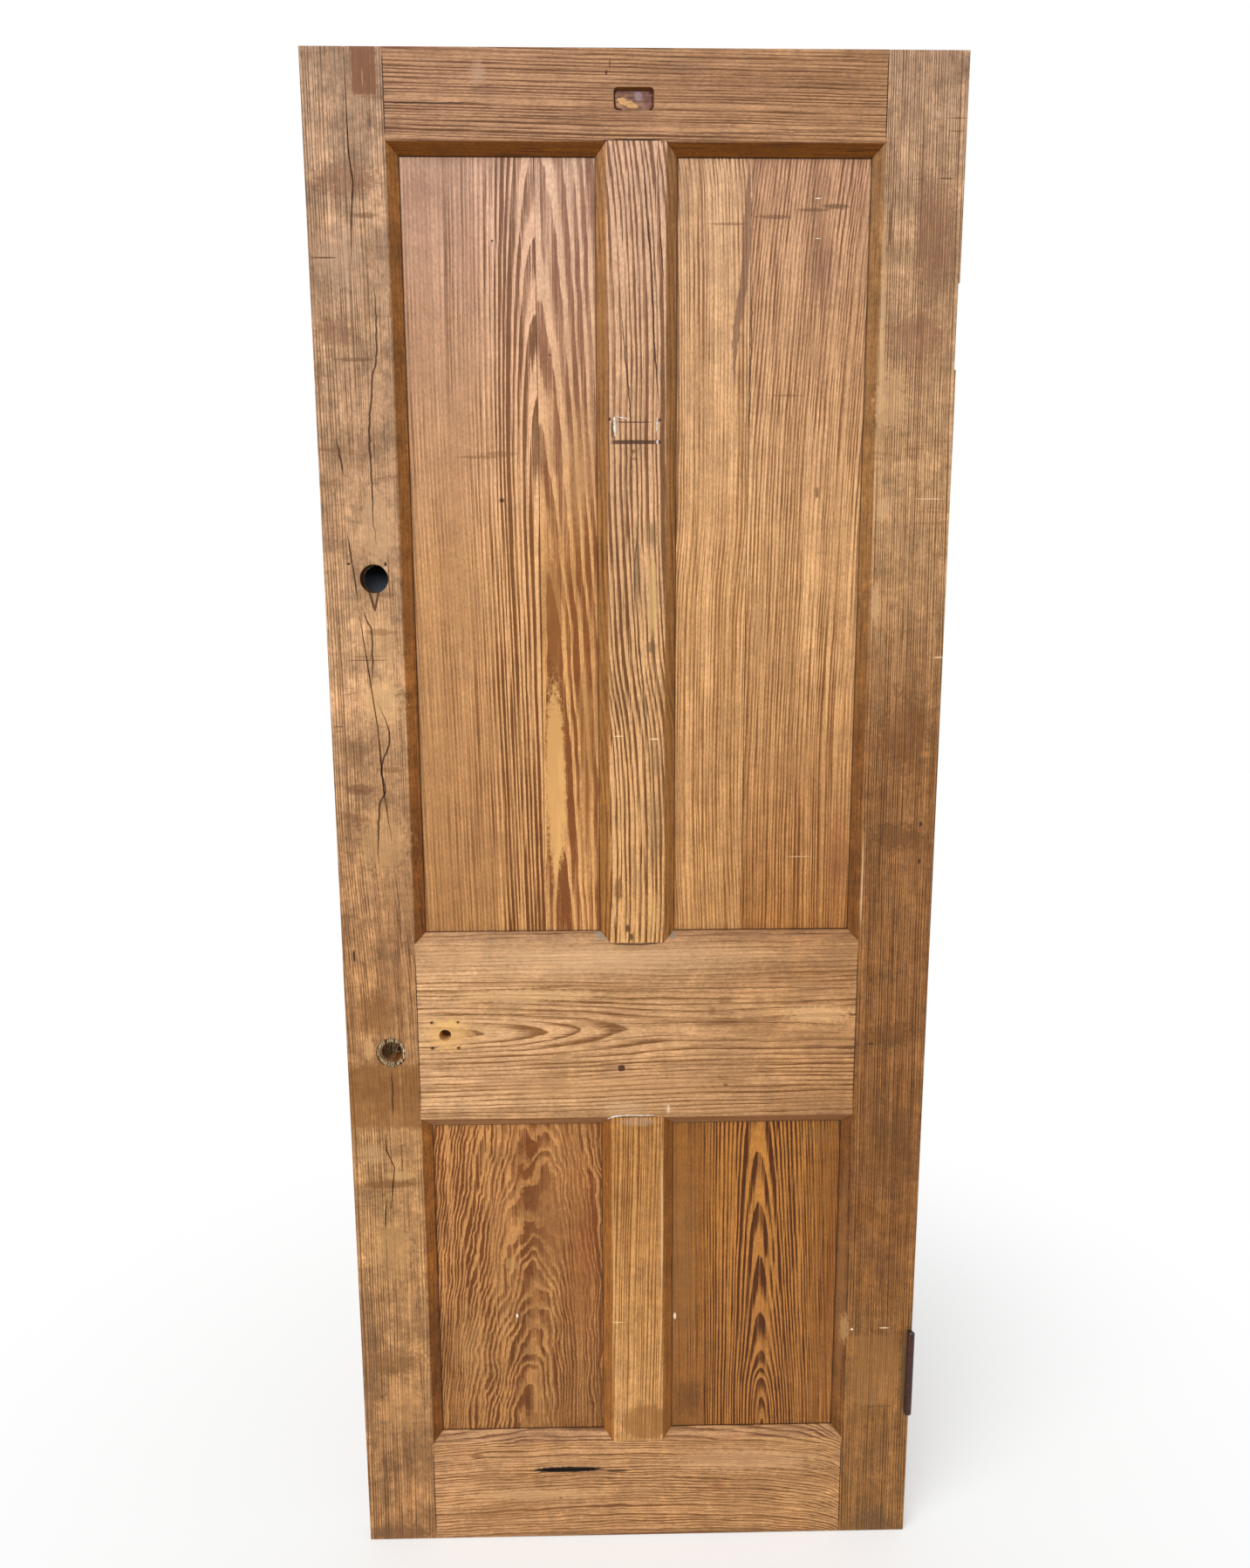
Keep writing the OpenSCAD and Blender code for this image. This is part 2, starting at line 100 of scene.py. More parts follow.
class Kind(Enum):
    """The shader nodes that the finishes are made of, each with the settings that it always has here."""

    PLACE = ("ShaderNodeTexCoord",)
    PARTS = ("ShaderNodeSeparateXYZ",)
    JOIN = ("ShaderNodeCombineXYZ",)
    V_PLUS = ("ShaderNodeVectorMath", ("operation", "ADD"))
    V_TIMES = ("ShaderNodeVectorMath", ("operation", "MULTIPLY"))
    V_TIMES_PLUS = ("ShaderNodeVectorMath", ("operation", "MULTIPLY_ADD"))
    V_ABS = ("ShaderNodeVectorMath", ("operation", "ABSOLUTE"))
    V_LENGTH = ("ShaderNodeVectorMath", ("operation", "LENGTH"))
    PLUS = ("ShaderNodeMath", ("operation", "ADD"))
    MINUS = ("ShaderNodeMath", ("operation", "SUBTRACT"))
    TIMES = ("ShaderNodeMath", ("operation", "MULTIPLY"))
    TIMES_PLUS = ("ShaderNodeMath", ("operation", "MULTIPLY_ADD"))
    ABS = ("ShaderNodeMath", ("operation", "ABSOLUTE"))
    LARGER = ("ShaderNodeMath", ("operation", "MAXIMUM"))
    FRACT = ("ShaderNodeMath", ("operation", "FRACT"))
    RANGE = ("ShaderNodeMapRange",)
    SMOOTH = ("ShaderNodeMapRange", ("interpolation_type", "SMOOTHSTEP"))
    CURVE = ("ShaderNodeFloatCurve",)
    NOISE = ("ShaderNodeTexNoise",)
    RAMP = ("ShaderNodeValToRGB",)
    MIX = ("ShaderNodeMix", ("data_type", "RGBA"))
    TONE = ("ShaderNodeHueSaturation",)
    BUMP = ("ShaderNodeBump",)
    SHADER = ("ShaderNodeBsdfPrincipled",)
    LIGHT_PATH = ("ShaderNodeLightPath",)
    GLOW = ("ShaderNodeBackground",)
    EMIT = ("ShaderNodeEmission",)
    BLEND = ("ShaderNodeMixShader",)
    OUTPUT = ("ShaderNodeOutputMaterial",)
    WORLD_OUTPUT = ("ShaderNodeOutputWorld",)


class Grain(Enum):
    """Which way a timber's grain runs in the door."""

    UPRIGHT = "z"
    LEVEL = "x"


class Sheet:
    """A node tree that is written down one node at a time."""

    def __init__(self, tree: bpy.types.NodeTree) -> None:
        """Start with an empty tree."""
        self.tree = tree
        tree.nodes.clear()

    def add(self, kind: Kind, inputs: tuple[Any, ...] | dict[int | str, Any] = (), out: int | str = 0,
            **settings: Any) -> Socket:
        """Add a node with its settings and links.

        Args:
            kind: The node to add.
            inputs: Sockets to link or values to set, in the node's order, or by the input's number or name.
            out: Number or name of the output to hand back.
            **settings: More properties of the node. "stops" fills a colour ramp with places and linear colours, and
                "points" fills a curve.

        Returns:
            The chosen output, or the node's first input where it has no output.
        """
        node_type, *fixed = kind.value
        node = self.tree.nodes.new(node_type)
        for i, (place, colour) in enumerate(settings.pop("stops", ())):
            elements = node.color_ramp.elements
            stop = elements[i] if i < 2 else elements.new(place)
            stop.position = place
            stop.color = colour
        points = settings.pop("points", ())
        for i, (x, y) in enumerate(points):
            curve = node.mapping.curves[0]
            point = curve.points[i] if i < 2 else curve.points.new(x, y)
            point.location = (x, y)
        if points:
            node.mapping.update()
        for name, value in (*fixed, *settings.items()):
            setattr(node, name, value)
        for key, value in inputs.items() if isinstance(inputs, dict) else enumerate(inputs):
            if isinstance(value, bpy.types.NodeSocket):
                self.tree.links.new(value, node.inputs[key])
            else:
                node.inputs[key].default_value = value
        return node.outputs[out] if len(node.outputs) else node.inputs[0]


def blank_material(name: str) -> tuple[bpy.types.Material, Sheet]:
    """Start a material with an empty node tree.

    Args:
        name: What the material is and how its surface was made.

    Returns:
        The material and the sheet to write its nodes on.
    """
    material = bpy.data.materials.new(name)
    material.use_nodes = True
    return material, Sheet(material.node_tree)


def millimetres(sheet: Sheet) -> Socket:
    """Read the object coordinates in millimetres."""
    metres = sheet.add(Kind.PLACE, out="Object")
    return sheet.add(Kind.V_TIMES, (metres, (1000, 1000, 1000)))


def show(name: str, data: bpy.types.ID) -> bpy.types.Object:
    """Put a mesh, lamp or camera into the scene.

    Args:
        name: Name of the object.
        data: The mesh, lamp or camera.

    Returns:
        The new object, at the origin.
    """
    thing = bpy.data.objects.new(name, data)
    bpy.context.scene.collection.objects.link(thing)
    return thing


@dataclass(frozen=True)
class Place:
    """Where a shaded point lies in the door, as sockets in millimetres."""

    x: Socket
    y: Socket
    z: Socket
    across: Socket
    along: Socket
    front: Socket


def follow(sheet: Sheet, along: Socket, path: Path) -> Socket | float:
    """Read a drawn path: a smooth curve of the place along the grain.

    Args:
        sheet: The tree to add to.
        along: Place along the grain in millimetres.
        path: Points of place along and value, in rising order.

    Returns:
        The value there, or the number itself where the path has one point.
    """
    if len(path) == 1:
        return path[0][1]
    start, end = path[0][0], path[-1][0]
    low = min(v for _, v in path) - 0.001
    high = max(v for _, v in path) + 0.001
    share = sheet.add(Kind.RANGE, (along, start, end, 0, 1))
    points = [((w - start) / (end - start), (v - low) / (high - low)) for w, v in path]
    curve = sheet.add(Kind.CURVE, {1: share}, points=points)
    return sheet.add(Kind.TIMES_PLUS, (curve, high - low, low))


@dataclass(frozen=True)
class Blot:
    """A stain, dent, speck or patch of painted shade, of about oval outline, on the door's front.

    "ragged" is how far noise moves the outline and "soft" how wide it fades, both in half sizes. "sink" is how deep
    the bump presses it in, and "grit" how fine the noise is.
    """

    centre: tuple[float, float]
    size: tuple[float, float]
    tint: str
    strength: float = 0.6
    ragged: float = 0.35
    soft: float = 0.5
    sink: float = 0
    boxy: bool = False
    grit: float = 0.08

    def mask(self, sheet: Sheet, place: Place) -> Socket:
        """Distance from the centre in half sizes, or the larger side of it, roughened by noise and faded outwards.

        Args:
            sheet: The tree to add to.
            place: The shaded point.

        Returns:
            One inside the blot, falling to nought outside it.
        """
        away_x = sheet.add(Kind.MINUS, (place.x, self.centre[0]))
        away_z = sheet.add(Kind.MINUS, (place.z, self.centre[1]))
        flat = sheet.add(Kind.JOIN, (away_x, away_z))
        unit = sheet.add(Kind.V_TIMES, (flat, (2 / self.size[0], 2 / self.size[1], 1)))
        if self.boxy:
            sides = sheet.add(Kind.V_ABS, (unit,))
            side, rise = (sheet.add(Kind.PARTS, (sides,), axis) for axis in "XY")
            reach = sheet.add(Kind.LARGER, (side, rise))
        else:
            reach = sheet.add(Kind.V_LENGTH, (unit,), "Value")
        grit = sheet.add(Kind.V_TIMES_PLUS, (flat, (self.grit,) * 3, unit))
        rough = sheet.add(Kind.NOISE, {"Vector": grit, "Scale": 1.3, "Detail": 3, "Roughness": 0.8},
                          noise_dimensions="2D")
        edge = sheet.add(Kind.TIMES_PLUS, (rough, 2 * self.ragged, reach))
        inner = 1 + self.ragged - self.soft
        inside = sheet.add(Kind.SMOOTH, (edge, inner, 1 + self.ragged, self.strength, 0))
        return sheet.add(Kind.TIMES, (inside, place.front))


@dataclass(frozen=True)
class Split:
    """A crack, scratch, drawn line or line of painted shade that runs along the grain; "wobble" is how far it strays
    from its path.
    """

    path: Path
    width: float
    tint: str = "#33190c"
    strength: float = 0.9
    sink: float = 1
    wobble: float = 1.2

    def mask(self, sheet: Sheet, place: Place) -> Socket:
        """Distance from a drawn path, set against a width that closes towards both ends.

        Args:
            sheet: The tree to add to.
            place: The shaded point.

        Returns:
            One on the line, nought off it.
        """
        start, end = self.path[0][0], self.path[-1][0]
        middle, half = (start + end) / 2, (end - start) / 2
        centre = follow(sheet, place.along, self.path)
        grain = sheet.add(Kind.JOIN, (place.across, place.along))
        fine = sheet.add(Kind.V_TIMES, (grain, (0.02, 0.09, 0)))
        shake = sheet.add(Kind.NOISE, {"Vector": fine, "Scale": 1, "Detail": 2}, noise_dimensions="2D")
        shaken = sheet.add(Kind.TIMES_PLUS, (shake, 2 * self.wobble, place.across))
        level = sheet.add(Kind.MINUS, (shaken, self.wobble))
        off = sheet.add(Kind.MINUS, (level, centre))
        gap = sheet.add(Kind.ABS, (off,))
        share = sheet.add(Kind.MINUS, (place.along, middle))
        from_middle = sheet.add(Kind.ABS, (share,))
        opening = sheet.add(Kind.RANGE, (from_middle, half * 0.55, half, self.width / 2, 0))
        over = sheet.add(Kind.MINUS, (gap, opening))
        line = sheet.add(Kind.SMOOTH, (over, -0.25, 0.3, self.strength, 0))
        open_here = sheet.add(Kind.RANGE, (opening, 0, 0.08, 0, 1))
        kept = sheet.add(Kind.TIMES, (line, open_here))
        return sheet.add(Kind.TIMES, (kept, place.front))


Mark = Blot | Split


@dataclass(frozen=True)
class Pine:
    """Old stripped Scots pine, planed long ago, bleached, stained and dully waxed.

    Growth rings are shells round a pith line. Pale soft spring wood darkens slowly into a hard brown line and stops
    short at the next spring. The eye sees straight lines where the board was cut beside the pith, and nested arches
    where the pith leans away behind the face.
    """

    name: str
    grain: Grain
    early: Tones
    late: Tones
    pith_across: Path
    pith_depth: Path
    face: float = FACE_Y
    ring: float = 4
    late_share: float = 0.45
    contrast: Path = ((0, 0.9),)
    wander: float = 3
    wild: float = 0.6
    wild_size: tuple[float, float] = (26, 70)
    wild_detail: float = 2
    fleck: float = 0.3
    mottle: float = 0.25
    smear: float = 0
    # Tint multiplied into the chamfers: partly old finish, partly painted shade, darkest on chamfers that face down
    # and lightest on those that face up.
    chamfer: str | None = "#d6b379"
    rim: tuple[float, float, float, float] | None = None
    marks: tuple[Mark, ...] = ()

    def make(self) -> bpy.types.Material:
        """Build the node material.

        Returns:
            The finished material.
        """
        material, sheet = blank_material(self.name)
        place = self._place(sheet)
        rings = self._rings(sheet, place)
        fibre = self._fibre(sheet, place)
        colour = self._timber_colour(sheet, place, rings, fibre)
        colour = self._weather_and_shade(sheet, place, colour)
        # The fibres stand up a little, and marks sink into the face.
        height = fibre
        for mark in self.marks:
            mask = mark.mask(sheet, place)
            colour = sheet.add(Kind.MIX, {0: mask, 6: colour, 7: linear(mark.tint)}, 2)
            if mark.sink:
                height = sheet.add(Kind.TIMES_PLUS, (mask, -4 * mark.sink, height))
        rough = sheet.add(Kind.RANGE, (rings, 0, 1, 0.66, 0.52))
        bump = sheet.add(Kind.BUMP, {"Height": height, "Strength": 0.5, "Distance": 0.5 * MM})
        shader = sheet.add(Kind.SHADER,
                           {"Base Color": colour, "Roughness": rough, "Normal": bump, "IOR": 1.5,
                            "Specular IOR Level": 0.2})
        sheet.add(Kind.OUTPUT, {"Surface": shader})
        return material

    def _place(self, sheet: Sheet) -> Place:
        """Bring the object coordinates into millimetres and name them by the grain.

        Args:
            sheet: The tree to add to.

        Returns:
            The shaded point's place.
        """
        spot = millimetres(sheet)
        x, y, z = (sheet.add(Kind.PARTS, (spot,), axis) for axis in "XYZ")
        front = sheet.add(Kind.RANGE, (y, 0, -0.5, 0, 1))
        upright = self.grain is Grain.UPRIGHT
        return Place(x=x, y=y, z=z, across=x if upright else z, along=z if upright else x, front=front)

    def _grain_noise(self, sheet: Sheet, place: Place, across: float, along: float, detail: float,
                     out: str = "Color") -> Socket:
        """Noise drawn out along the grain.

        Args:
            sheet: The tree to add to.
            place: The shaded point.
            across: Size of a feature across the grain in millimetres.
            along: Size of a feature along the grain in millimetres.
            detail: Octaves of finer noise.
            out: Which output of the noise to use.

        Returns:
            Noise from nought to one.
        """
        grain = sheet.add(Kind.JOIN, (place.across, place.y, place.along))
        drawn = sheet.add(Kind.V_TIMES, (grain, (1 / across, 1 / across, 1 / along)))
        return sheet.add(Kind.NOISE, {"Vector": drawn, "Scale": 1, "Detail": detail}, out)

    def _rings(self, sheet: Sheet, place: Place) -> Socket:
        """Distance from the pith line, bent by slow noise, counted in rings.

        Args:
            sheet: The tree to add to.
            place: The shaded point.

        Returns:
            Nought in spring wood, rising to one in the summer wood at the ring's end.
        """
        slow = self._grain_noise(sheet, place, 90, 420, 1)
        quick = self._grain_noise(sheet, place, *self.wild_size, self.wild_detail)
        bends = [sheet.add(Kind.V_TIMES_PLUS, (noise, (2 * far,) * 3, (-far,) * 3))
                 for noise, far in ((slow, self.wander), (quick, self.wild))]
        stray = sheet.add(Kind.V_PLUS, tuple(bends))
        pith_across = follow(sheet, place.along, self.pith_across)
        pith_depth = follow(sheet, place.along, self.pith_depth)
        beside = sheet.add(Kind.MINUS, (place.across, pith_across))
        below = sheet.add(Kind.MINUS, (place.y, self.face))
        behind = sheet.add(Kind.MINUS, (below, pith_depth))
        section = sheet.add(Kind.JOIN, (beside, behind))
        bent = sheet.add(Kind.V_PLUS, (section, stray))
        flat = sheet.add(Kind.V_TIMES, (bent, (1, 1, 0)))
        radius = sheet.add(Kind.V_LENGTH, (flat,), "Value")
        years = sheet.add(Kind.TIMES, (radius, 1 / self.ring))
        seasons = sheet.add(Kind.NOISE, {"W": years, "Scale": 0.33, "Detail": 1}, noise_dimensions="1D")
        uneven = sheet.add(Kind.TIMES_PLUS, (seasons, 1.6, years))
        season = sheet.add(Kind.FRACT, (uneven,))
        turn = 1 - self.late_share
        year = ((0, 0), (turn * 0.6, 0.08), (turn, 0.7), (turn + 0.35 * self.late_share, 1), (0.94, 1), (1, 0))
        return sheet.add(Kind.RAMP, (season,), stops=[(at, (dark, dark, dark, 1)) for at, dark in year])

    def _fibre(self, sheet: Sheet, place: Place) -> Socket:
        """Fine fibres, far longer than wide, about a millimetre across so that they still show at the door's size."""
        return self._grain_noise(sheet, place, 1.3, 70, 3, "Fac")

    def _timber_colour(self, sheet: Sheet, place: Place, rings: Socket, fibre: Socket) -> Socket:
        """Mix spring and summer wood by the rings, both changing slowly along the board, with pores and fine checks.

        Args:
            sheet: The tree to add to.
            place: The shaded point.
            rings: Share of summer wood.
            fibre: Fine fibre noise.

        Returns:
            The bare timber's colour.
        """
        start, end = self.early[0][0], self.early[-1][0]
        share = sheet.add(Kind.RANGE, (place.along, start, end, 0, 1))
        ramps = [tuple(((w - start) / (end - start), linear(code)) for w, code in tones)
                 for tones in (self.early, self.late)]
        spring = sheet.add(Kind.RAMP, (share,), stops=ramps[0])
        summer = sheet.add(Kind.RAMP, (share,), stops=ramps[1])
        bands = self._grain_noise(sheet, place, 9, 380, 2, "Fac")
        lively = sheet.add(Kind.RANGE, (bands, 0.3, 0.7, 0.7, 1.15))
        amount = sheet.add(Kind.TIMES, (rings, lively))
        drift = sheet.add(Kind.RANGE, (bands, 0.3, 0.7, -0.3, 0.3))
        tinted = sheet.add(Kind.PLUS, (amount, drift))
        streak = sheet.add(Kind.RANGE, (fibre, 0.3, 0.7, -0.42, 0.42))
        total = sheet.add(Kind.PLUS, (tinted, streak))
        level = sheet.add(Kind.MINUS, (total, 0.5))
        rubbed = self._grain_noise(sheet, place, 34, 120, 3, "Fac")
        kept = sheet.add(Kind.RANGE, (rubbed, 0.34, 0.66, 0.4, 1.6))
        drawn = follow(sheet, place.across, self.contrast)
        contrast = sheet.add(Kind.TIMES, (kept, drawn))
        mixed = sheet.add(Kind.TIMES_PLUS, (level, contrast, 0.5))
        # Checks and pores are drawn about ten times their real width, so that they show at the door's size.
        tears = self._grain_noise(sheet, place, 1.5, 75, 1, "Fac")
        checks = sheet.add(Kind.RANGE, (tears, 0.62, 0.72, 0, 1.8 * self.fleck))
        ripe = sheet.add(Kind.PLUS, (mixed, checks), use_clamp=True)
        timber = sheet.add(Kind.MIX, {0: ripe, 6: spring, 7: summer}, 2)
        dashes = self._grain_noise(sheet, place, 1.2, 15, 1, "Fac")
        pores = sheet.add(Kind.RANGE, (dashes, 0.56, 0.7, 1, 1 - 0.8 * self.fleck))
        return sheet.add(Kind.TONE, {"Color": timber, "Value": pores})

    def _weather_and_shade(self, sheet: Sheet, place: Place, colour: Socket) -> Socket:
        """Add what age left: mottling, dirty smears, bleached patches, and old finish in chamfers and panel rims,
        with painted shade in both.

        Args:
            sheet: The tree to add to.
            place: The shaded point.
            colour: The bare timber's colour.

        Returns:
            The weathered colour.
        """
        flat = sheet.add(Kind.JOIN, (place.x, place.y, place.z))
        cloudy = sheet.add(Kind.V_TIMES, (flat, (1 / 42, 1 / 42, 1 / 34)))
        clouds = sheet.add(Kind.NOISE, {"Vector": cloudy, "Scale": 1, "Detail": 6, "Roughness": 0.82})
        patches = sheet.add(Kind.RANGE, (clouds, 0.36, 0.64, 1 + self.mottle, 1 - self.mottle))
        # The raised grain is drawn some three times too coarse, so that it shows at the door's size.
        tooth = self._grain_noise(sheet, place, 1.6, 5, 1, "Fac")
        rubbed = sheet.add(Kind.RANGE, (tooth, 0.3, 0.7, 0.86, 1.14))
        tone = sheet.add(Kind.TIMES, (patches, rubbed))
        colour = sheet.add(Kind.TONE, {"Color": colour, "Value": tone})
        if self.smear:
            wiped = sheet.add(Kind.V_TIMES, (flat, (1 / 110, 1 / 110, 1 / 16)))
            wipes = sheet.add(Kind.NOISE,
                              {"Vector": wiped, "Scale": 1, "Detail": 5, "Roughness": 0.7, "Distortion": 0.4})
            dirty = sheet.add(Kind.RANGE, (wipes, 0.58, 0.68, 0, self.smear))
            colour = sheet.add(Kind.MIX, {0: dirty, 6: colour, 7: linear(GRIME)}, 2)
            rained = sheet.add(Kind.V_TIMES, (flat, (1 / 44, 1 / 44, 1 / 60)))
            rains = sheet.add(Kind.NOISE, {"Vector": rained, "Scale": 1, "Detail": 6, "Roughness": 0.7})
            bleached = sheet.add(Kind.RANGE, (rains, 0.52, 0.6, 1, 1 + 0.5 * self.smear))
            colour = sheet.add(Kind.TONE, {"Color": colour, "Value": bleached})
        # Painted shade with old finish: the chamfer tint darkens each chamfer by the way it faces the light.
        if self.chamfer:
            depth = sheet.add(Kind.ABS, (place.y,))
            sunk = sheet.add(Kind.RANGE, (depth, CHAMFER_START, CHAMFER_START - 1, 0, 1))
            sides = sheet.add(Kind.ABS, (place.x,))
            within = sheet.add(Kind.RANGE, (sides, CHAMFER_SIDE, CHAMFER_SIDE + 1, 1, 0))
            rise = sheet.add(Kind.MINUS, (place.z, HEIGHT / 2))
            from_middle = sheet.add(Kind.ABS, (rise,))
            between = sheet.add(Kind.RANGE, (from_middle, CHAMFER_RISE, CHAMFER_RISE + 1, 1, 0))
            inside = sheet.add(Kind.TIMES, (within, between))
            moulding = sheet.add(Kind.TIMES, (sunk, inside))
            colour = sheet.add(Kind.MIX, {0: moulding, 6: colour, 7: linear(self.chamfer)}, 2,
                               blend_type="MULTIPLY")
        if self.rim:
            colour = self._rim_dirt_and_shade(sheet, place, colour)
        return colour

    def _rim_dirt_and_shade(self, sheet: Sheet, place: Place, colour: Socket) -> Socket:
        """Darken a panel towards the opening's four edges: dirt and old finish, and painted shade where the panel
        meets the frame.

        Args:
            sheet: The tree to add to.
            place: The shaded point.
            colour: The colour so far.

        Returns:
            The colour with its dark rim.
        """
        left, right, low, high = self.rim
        overs = []
        for value, start, end in ((place.x, left, right), (place.z, low, high)):
            from_middle = sheet.add(Kind.MINUS, (value, (start + end) / 2))
            out = sheet.add(Kind.ABS, (from_middle,))
            overs.append(sheet.add(Kind.MINUS, (out, (end - start) / 2)))
        past = sheet.add(Kind.LARGER, tuple(overs))
        # A faint halo within nine millimetres and a dark line at the edge, both dirt and painted shadow.
        for start, end, share, tint in ((-9, 0, 0.16, RIM_HALO_DIRT_AND_SHADE), (-2, -0.6, 0.85, RIM_LINE_SHADE_AND_DIRT)):
            dirty = sheet.add(Kind.SMOOTH, (past, start, end, 0, share))
            colour = sheet.add(Kind.MIX, {0: dirty, 6: colour, 7: linear(tint)}, 2)
        return colour


LOCK_STILE_MARKS: tuple[Mark, ...] = (
    Blot((-322, 1440), (50, 110), "#cfa57a", 0.45, 0.9, 0.35),
    Blot((-322, 1300), (46, 80), "#cda06f", 0.45, 0.9, 0.35),
    Blot((-322, 1222), (54, 70), "#d6aa76", 0.55, 0.9, 0.35),
    Blot((-330, 1040), (76, 90), "#c99b66", 0.4, 0.9, 0.35),
    Blot((-361, 758), (18, 42), "#cb9d68", 0.65, 0.7, 0.5),
    Blot((-362, 605), (36, 36), "#b99364", 0.5),
    Blot((-325, 573), (58, 15), "#cc9d66", 0.55),
    Blot((-338, 465), (60, 100), "#c6975f", 0.4, 0.9, 0.35),
    Blot((-340, 215), (60, 90), "#b98a58", 0.4, 0.9, 0.35),
    Blot((-352, 1755), (60, 90), "#b99579", 0.35, 0.9, 0.35),
    Blot((-345, 1838), (96, 40), "#7c5137", 0.5, 1, 0.35),
    Blot((-322, 1799), (38, 8), "#664630", 0.6, 0.5),
    Blot((-340, 1637), (64, 6), "#68482f", 0.6, 0.5),
    Blot((-362, 1668), (56, 34), "#80563b", 0.45, 1, 0.35),
    Blot((-362, 1158), (40, 66), "#6b4528", 0.55, 0.6, 0.8),
    Blot((-358, 1110), (46, 20), "#644023", 0.6, 0.5),
    Blot((-318, 1136), (46, 9), "#7b532d", 0.55, 0.5),
    Blot((-325, 1311), (46, 11), "#815b36", 0.55, 0.5),
    Blot((-316, 1358), (32, 9), "#765130", 0.5, 0.5),
    Blot((-345, 688), (120, 102), "#80501f", 0.6, 0.2, 0.2, boxy=True),
    Blot((-352, 806), (70, 70), "#85562a", 0.5, 0.7, 0.5),
    Blot((-345, 560), (98, 15), "#734a23", 0.65, 0.5),
    Blot((-345, 288), (94, 46), "#77512b", 0.5, 1, 0.35),
    Blot((-345, 10), (110, 30), "#64432a", 0.6, 0.5),
    Blot((-380, 300), (26, 360), "#705035", 0.4, 0.9, 0.35),
    Blot((-316, 1956), (30, 56), "#7a4c31", 0.8, 0.12, 0.12, boxy=True),
    Blot((-318, 1948), (1.6, 22), "#c39674", 0.7, 0.3),
    Blot((-372, 1752), (38, 2.2), "#432c1d", 0.85, 0.3, 0.5, 0.4),
    Blot((-380, 1192), (19, 1.8), "#4a301d", 0.8, 0.3, 0.5, 0.3),
    Blot((-381, 1186), (17, 1.4), "#4a301d", 0.6, 0.3),
    Blot((-374.5, 887), (4, 19), "#352011", 0.9, 0.25, 0.3, 0.8),
    Blot((-341, 885), (9, 9), "#724822", 0.6, 0.4),
    Blot((-340, 1276), (54, 1.5), "#573923", 0.7, 0.2, 0.4, boxy=True),
    Blot((-340, 1281), (52, 1.3), "#573923", 0.4, 0.3, 0.5, boxy=True),
    # Painted shade: the latch hole's walls are darkened nearly black.
    Blot(LATCH, (36.4, 36.4), "#1d100a", 0.92, 0, 0.05),
    Blot(KNOB, (27.8, 27.8), "#46321f", 0.75, 0, 0.05),
    Blot((-328.5, 1352), (8, 18), "#a67a55", 0.7, 0.2, 0.3),
    # The torn splinter below the latch hole: two dark lines, partly its torn edges and partly painted shade along its
    # sides.
    Split(((1336, -328.5), (1348, -331), (1366, -336)), 3, "#4a2d1b", 0.9, 1, 0.4),
    Split(((1336, -328.5), (1348, -326), (1366, -321.5)), 2.6, "#4a2d1b", 0.9, 1, 0.4),
    Blot((-313, 1389), (8, 9), "#cda588", 0.7, 0.3),
    # Painted shade: dark dots, pressed in only by the bump, stand for the inside of two small screw holes.
    Blot((-358.7, 1395.3), (4.2, 3.4), NEAR_BLACK, 0.95, 0.15, 0.3, 1.2),
    Blot((-313, 1394.8), (3.4, 5.2), NEAR_BLACK, 0.95, 0.15, 0.3, 1.2),
    Split(((1010, -338), (1070, -334.5), (1090, -333), (1100, -328), (1114, -325), (1130, -328), (1148, -326),
           (1160, -321), (1178, -316.7), (1190, -318), (1205, -323), (1225, -331)), 2.2),
    Split(((1250, -335), (1270, -334), (1300, -333.5), (1312, -333.5), (1322, -337.5), (1345, -346)), 1.9),
    Split(((1412, -325), (1430, -323.5), (1445, -326.5), (1480, -326), (1540, -326.5), (1600, -321.5),
           (1617, -320), (1635, -315), (1660, -313), (1700, -313), (1735, -313.5)), 1.9),
    Split(((1345, -349), (1375, -351.7), (1415, -356.7), (1436, -358.7)), 1.7),
    Split(((660, -332), (690, -331.5), (728, -331.5)), 1.8),
    Split(((1500, -360), (1520, -362.5), (1545, -367)), 1.9),
    Split(((900, -312), (950, -313), (1000, -316)), 1, strength=0.7),
    Split(((490, -349), (515, -348), (535, -346)), 1.9),
    Split(((360, -350), (420, -349), (492, -349)), 1, strength=0.6),
)
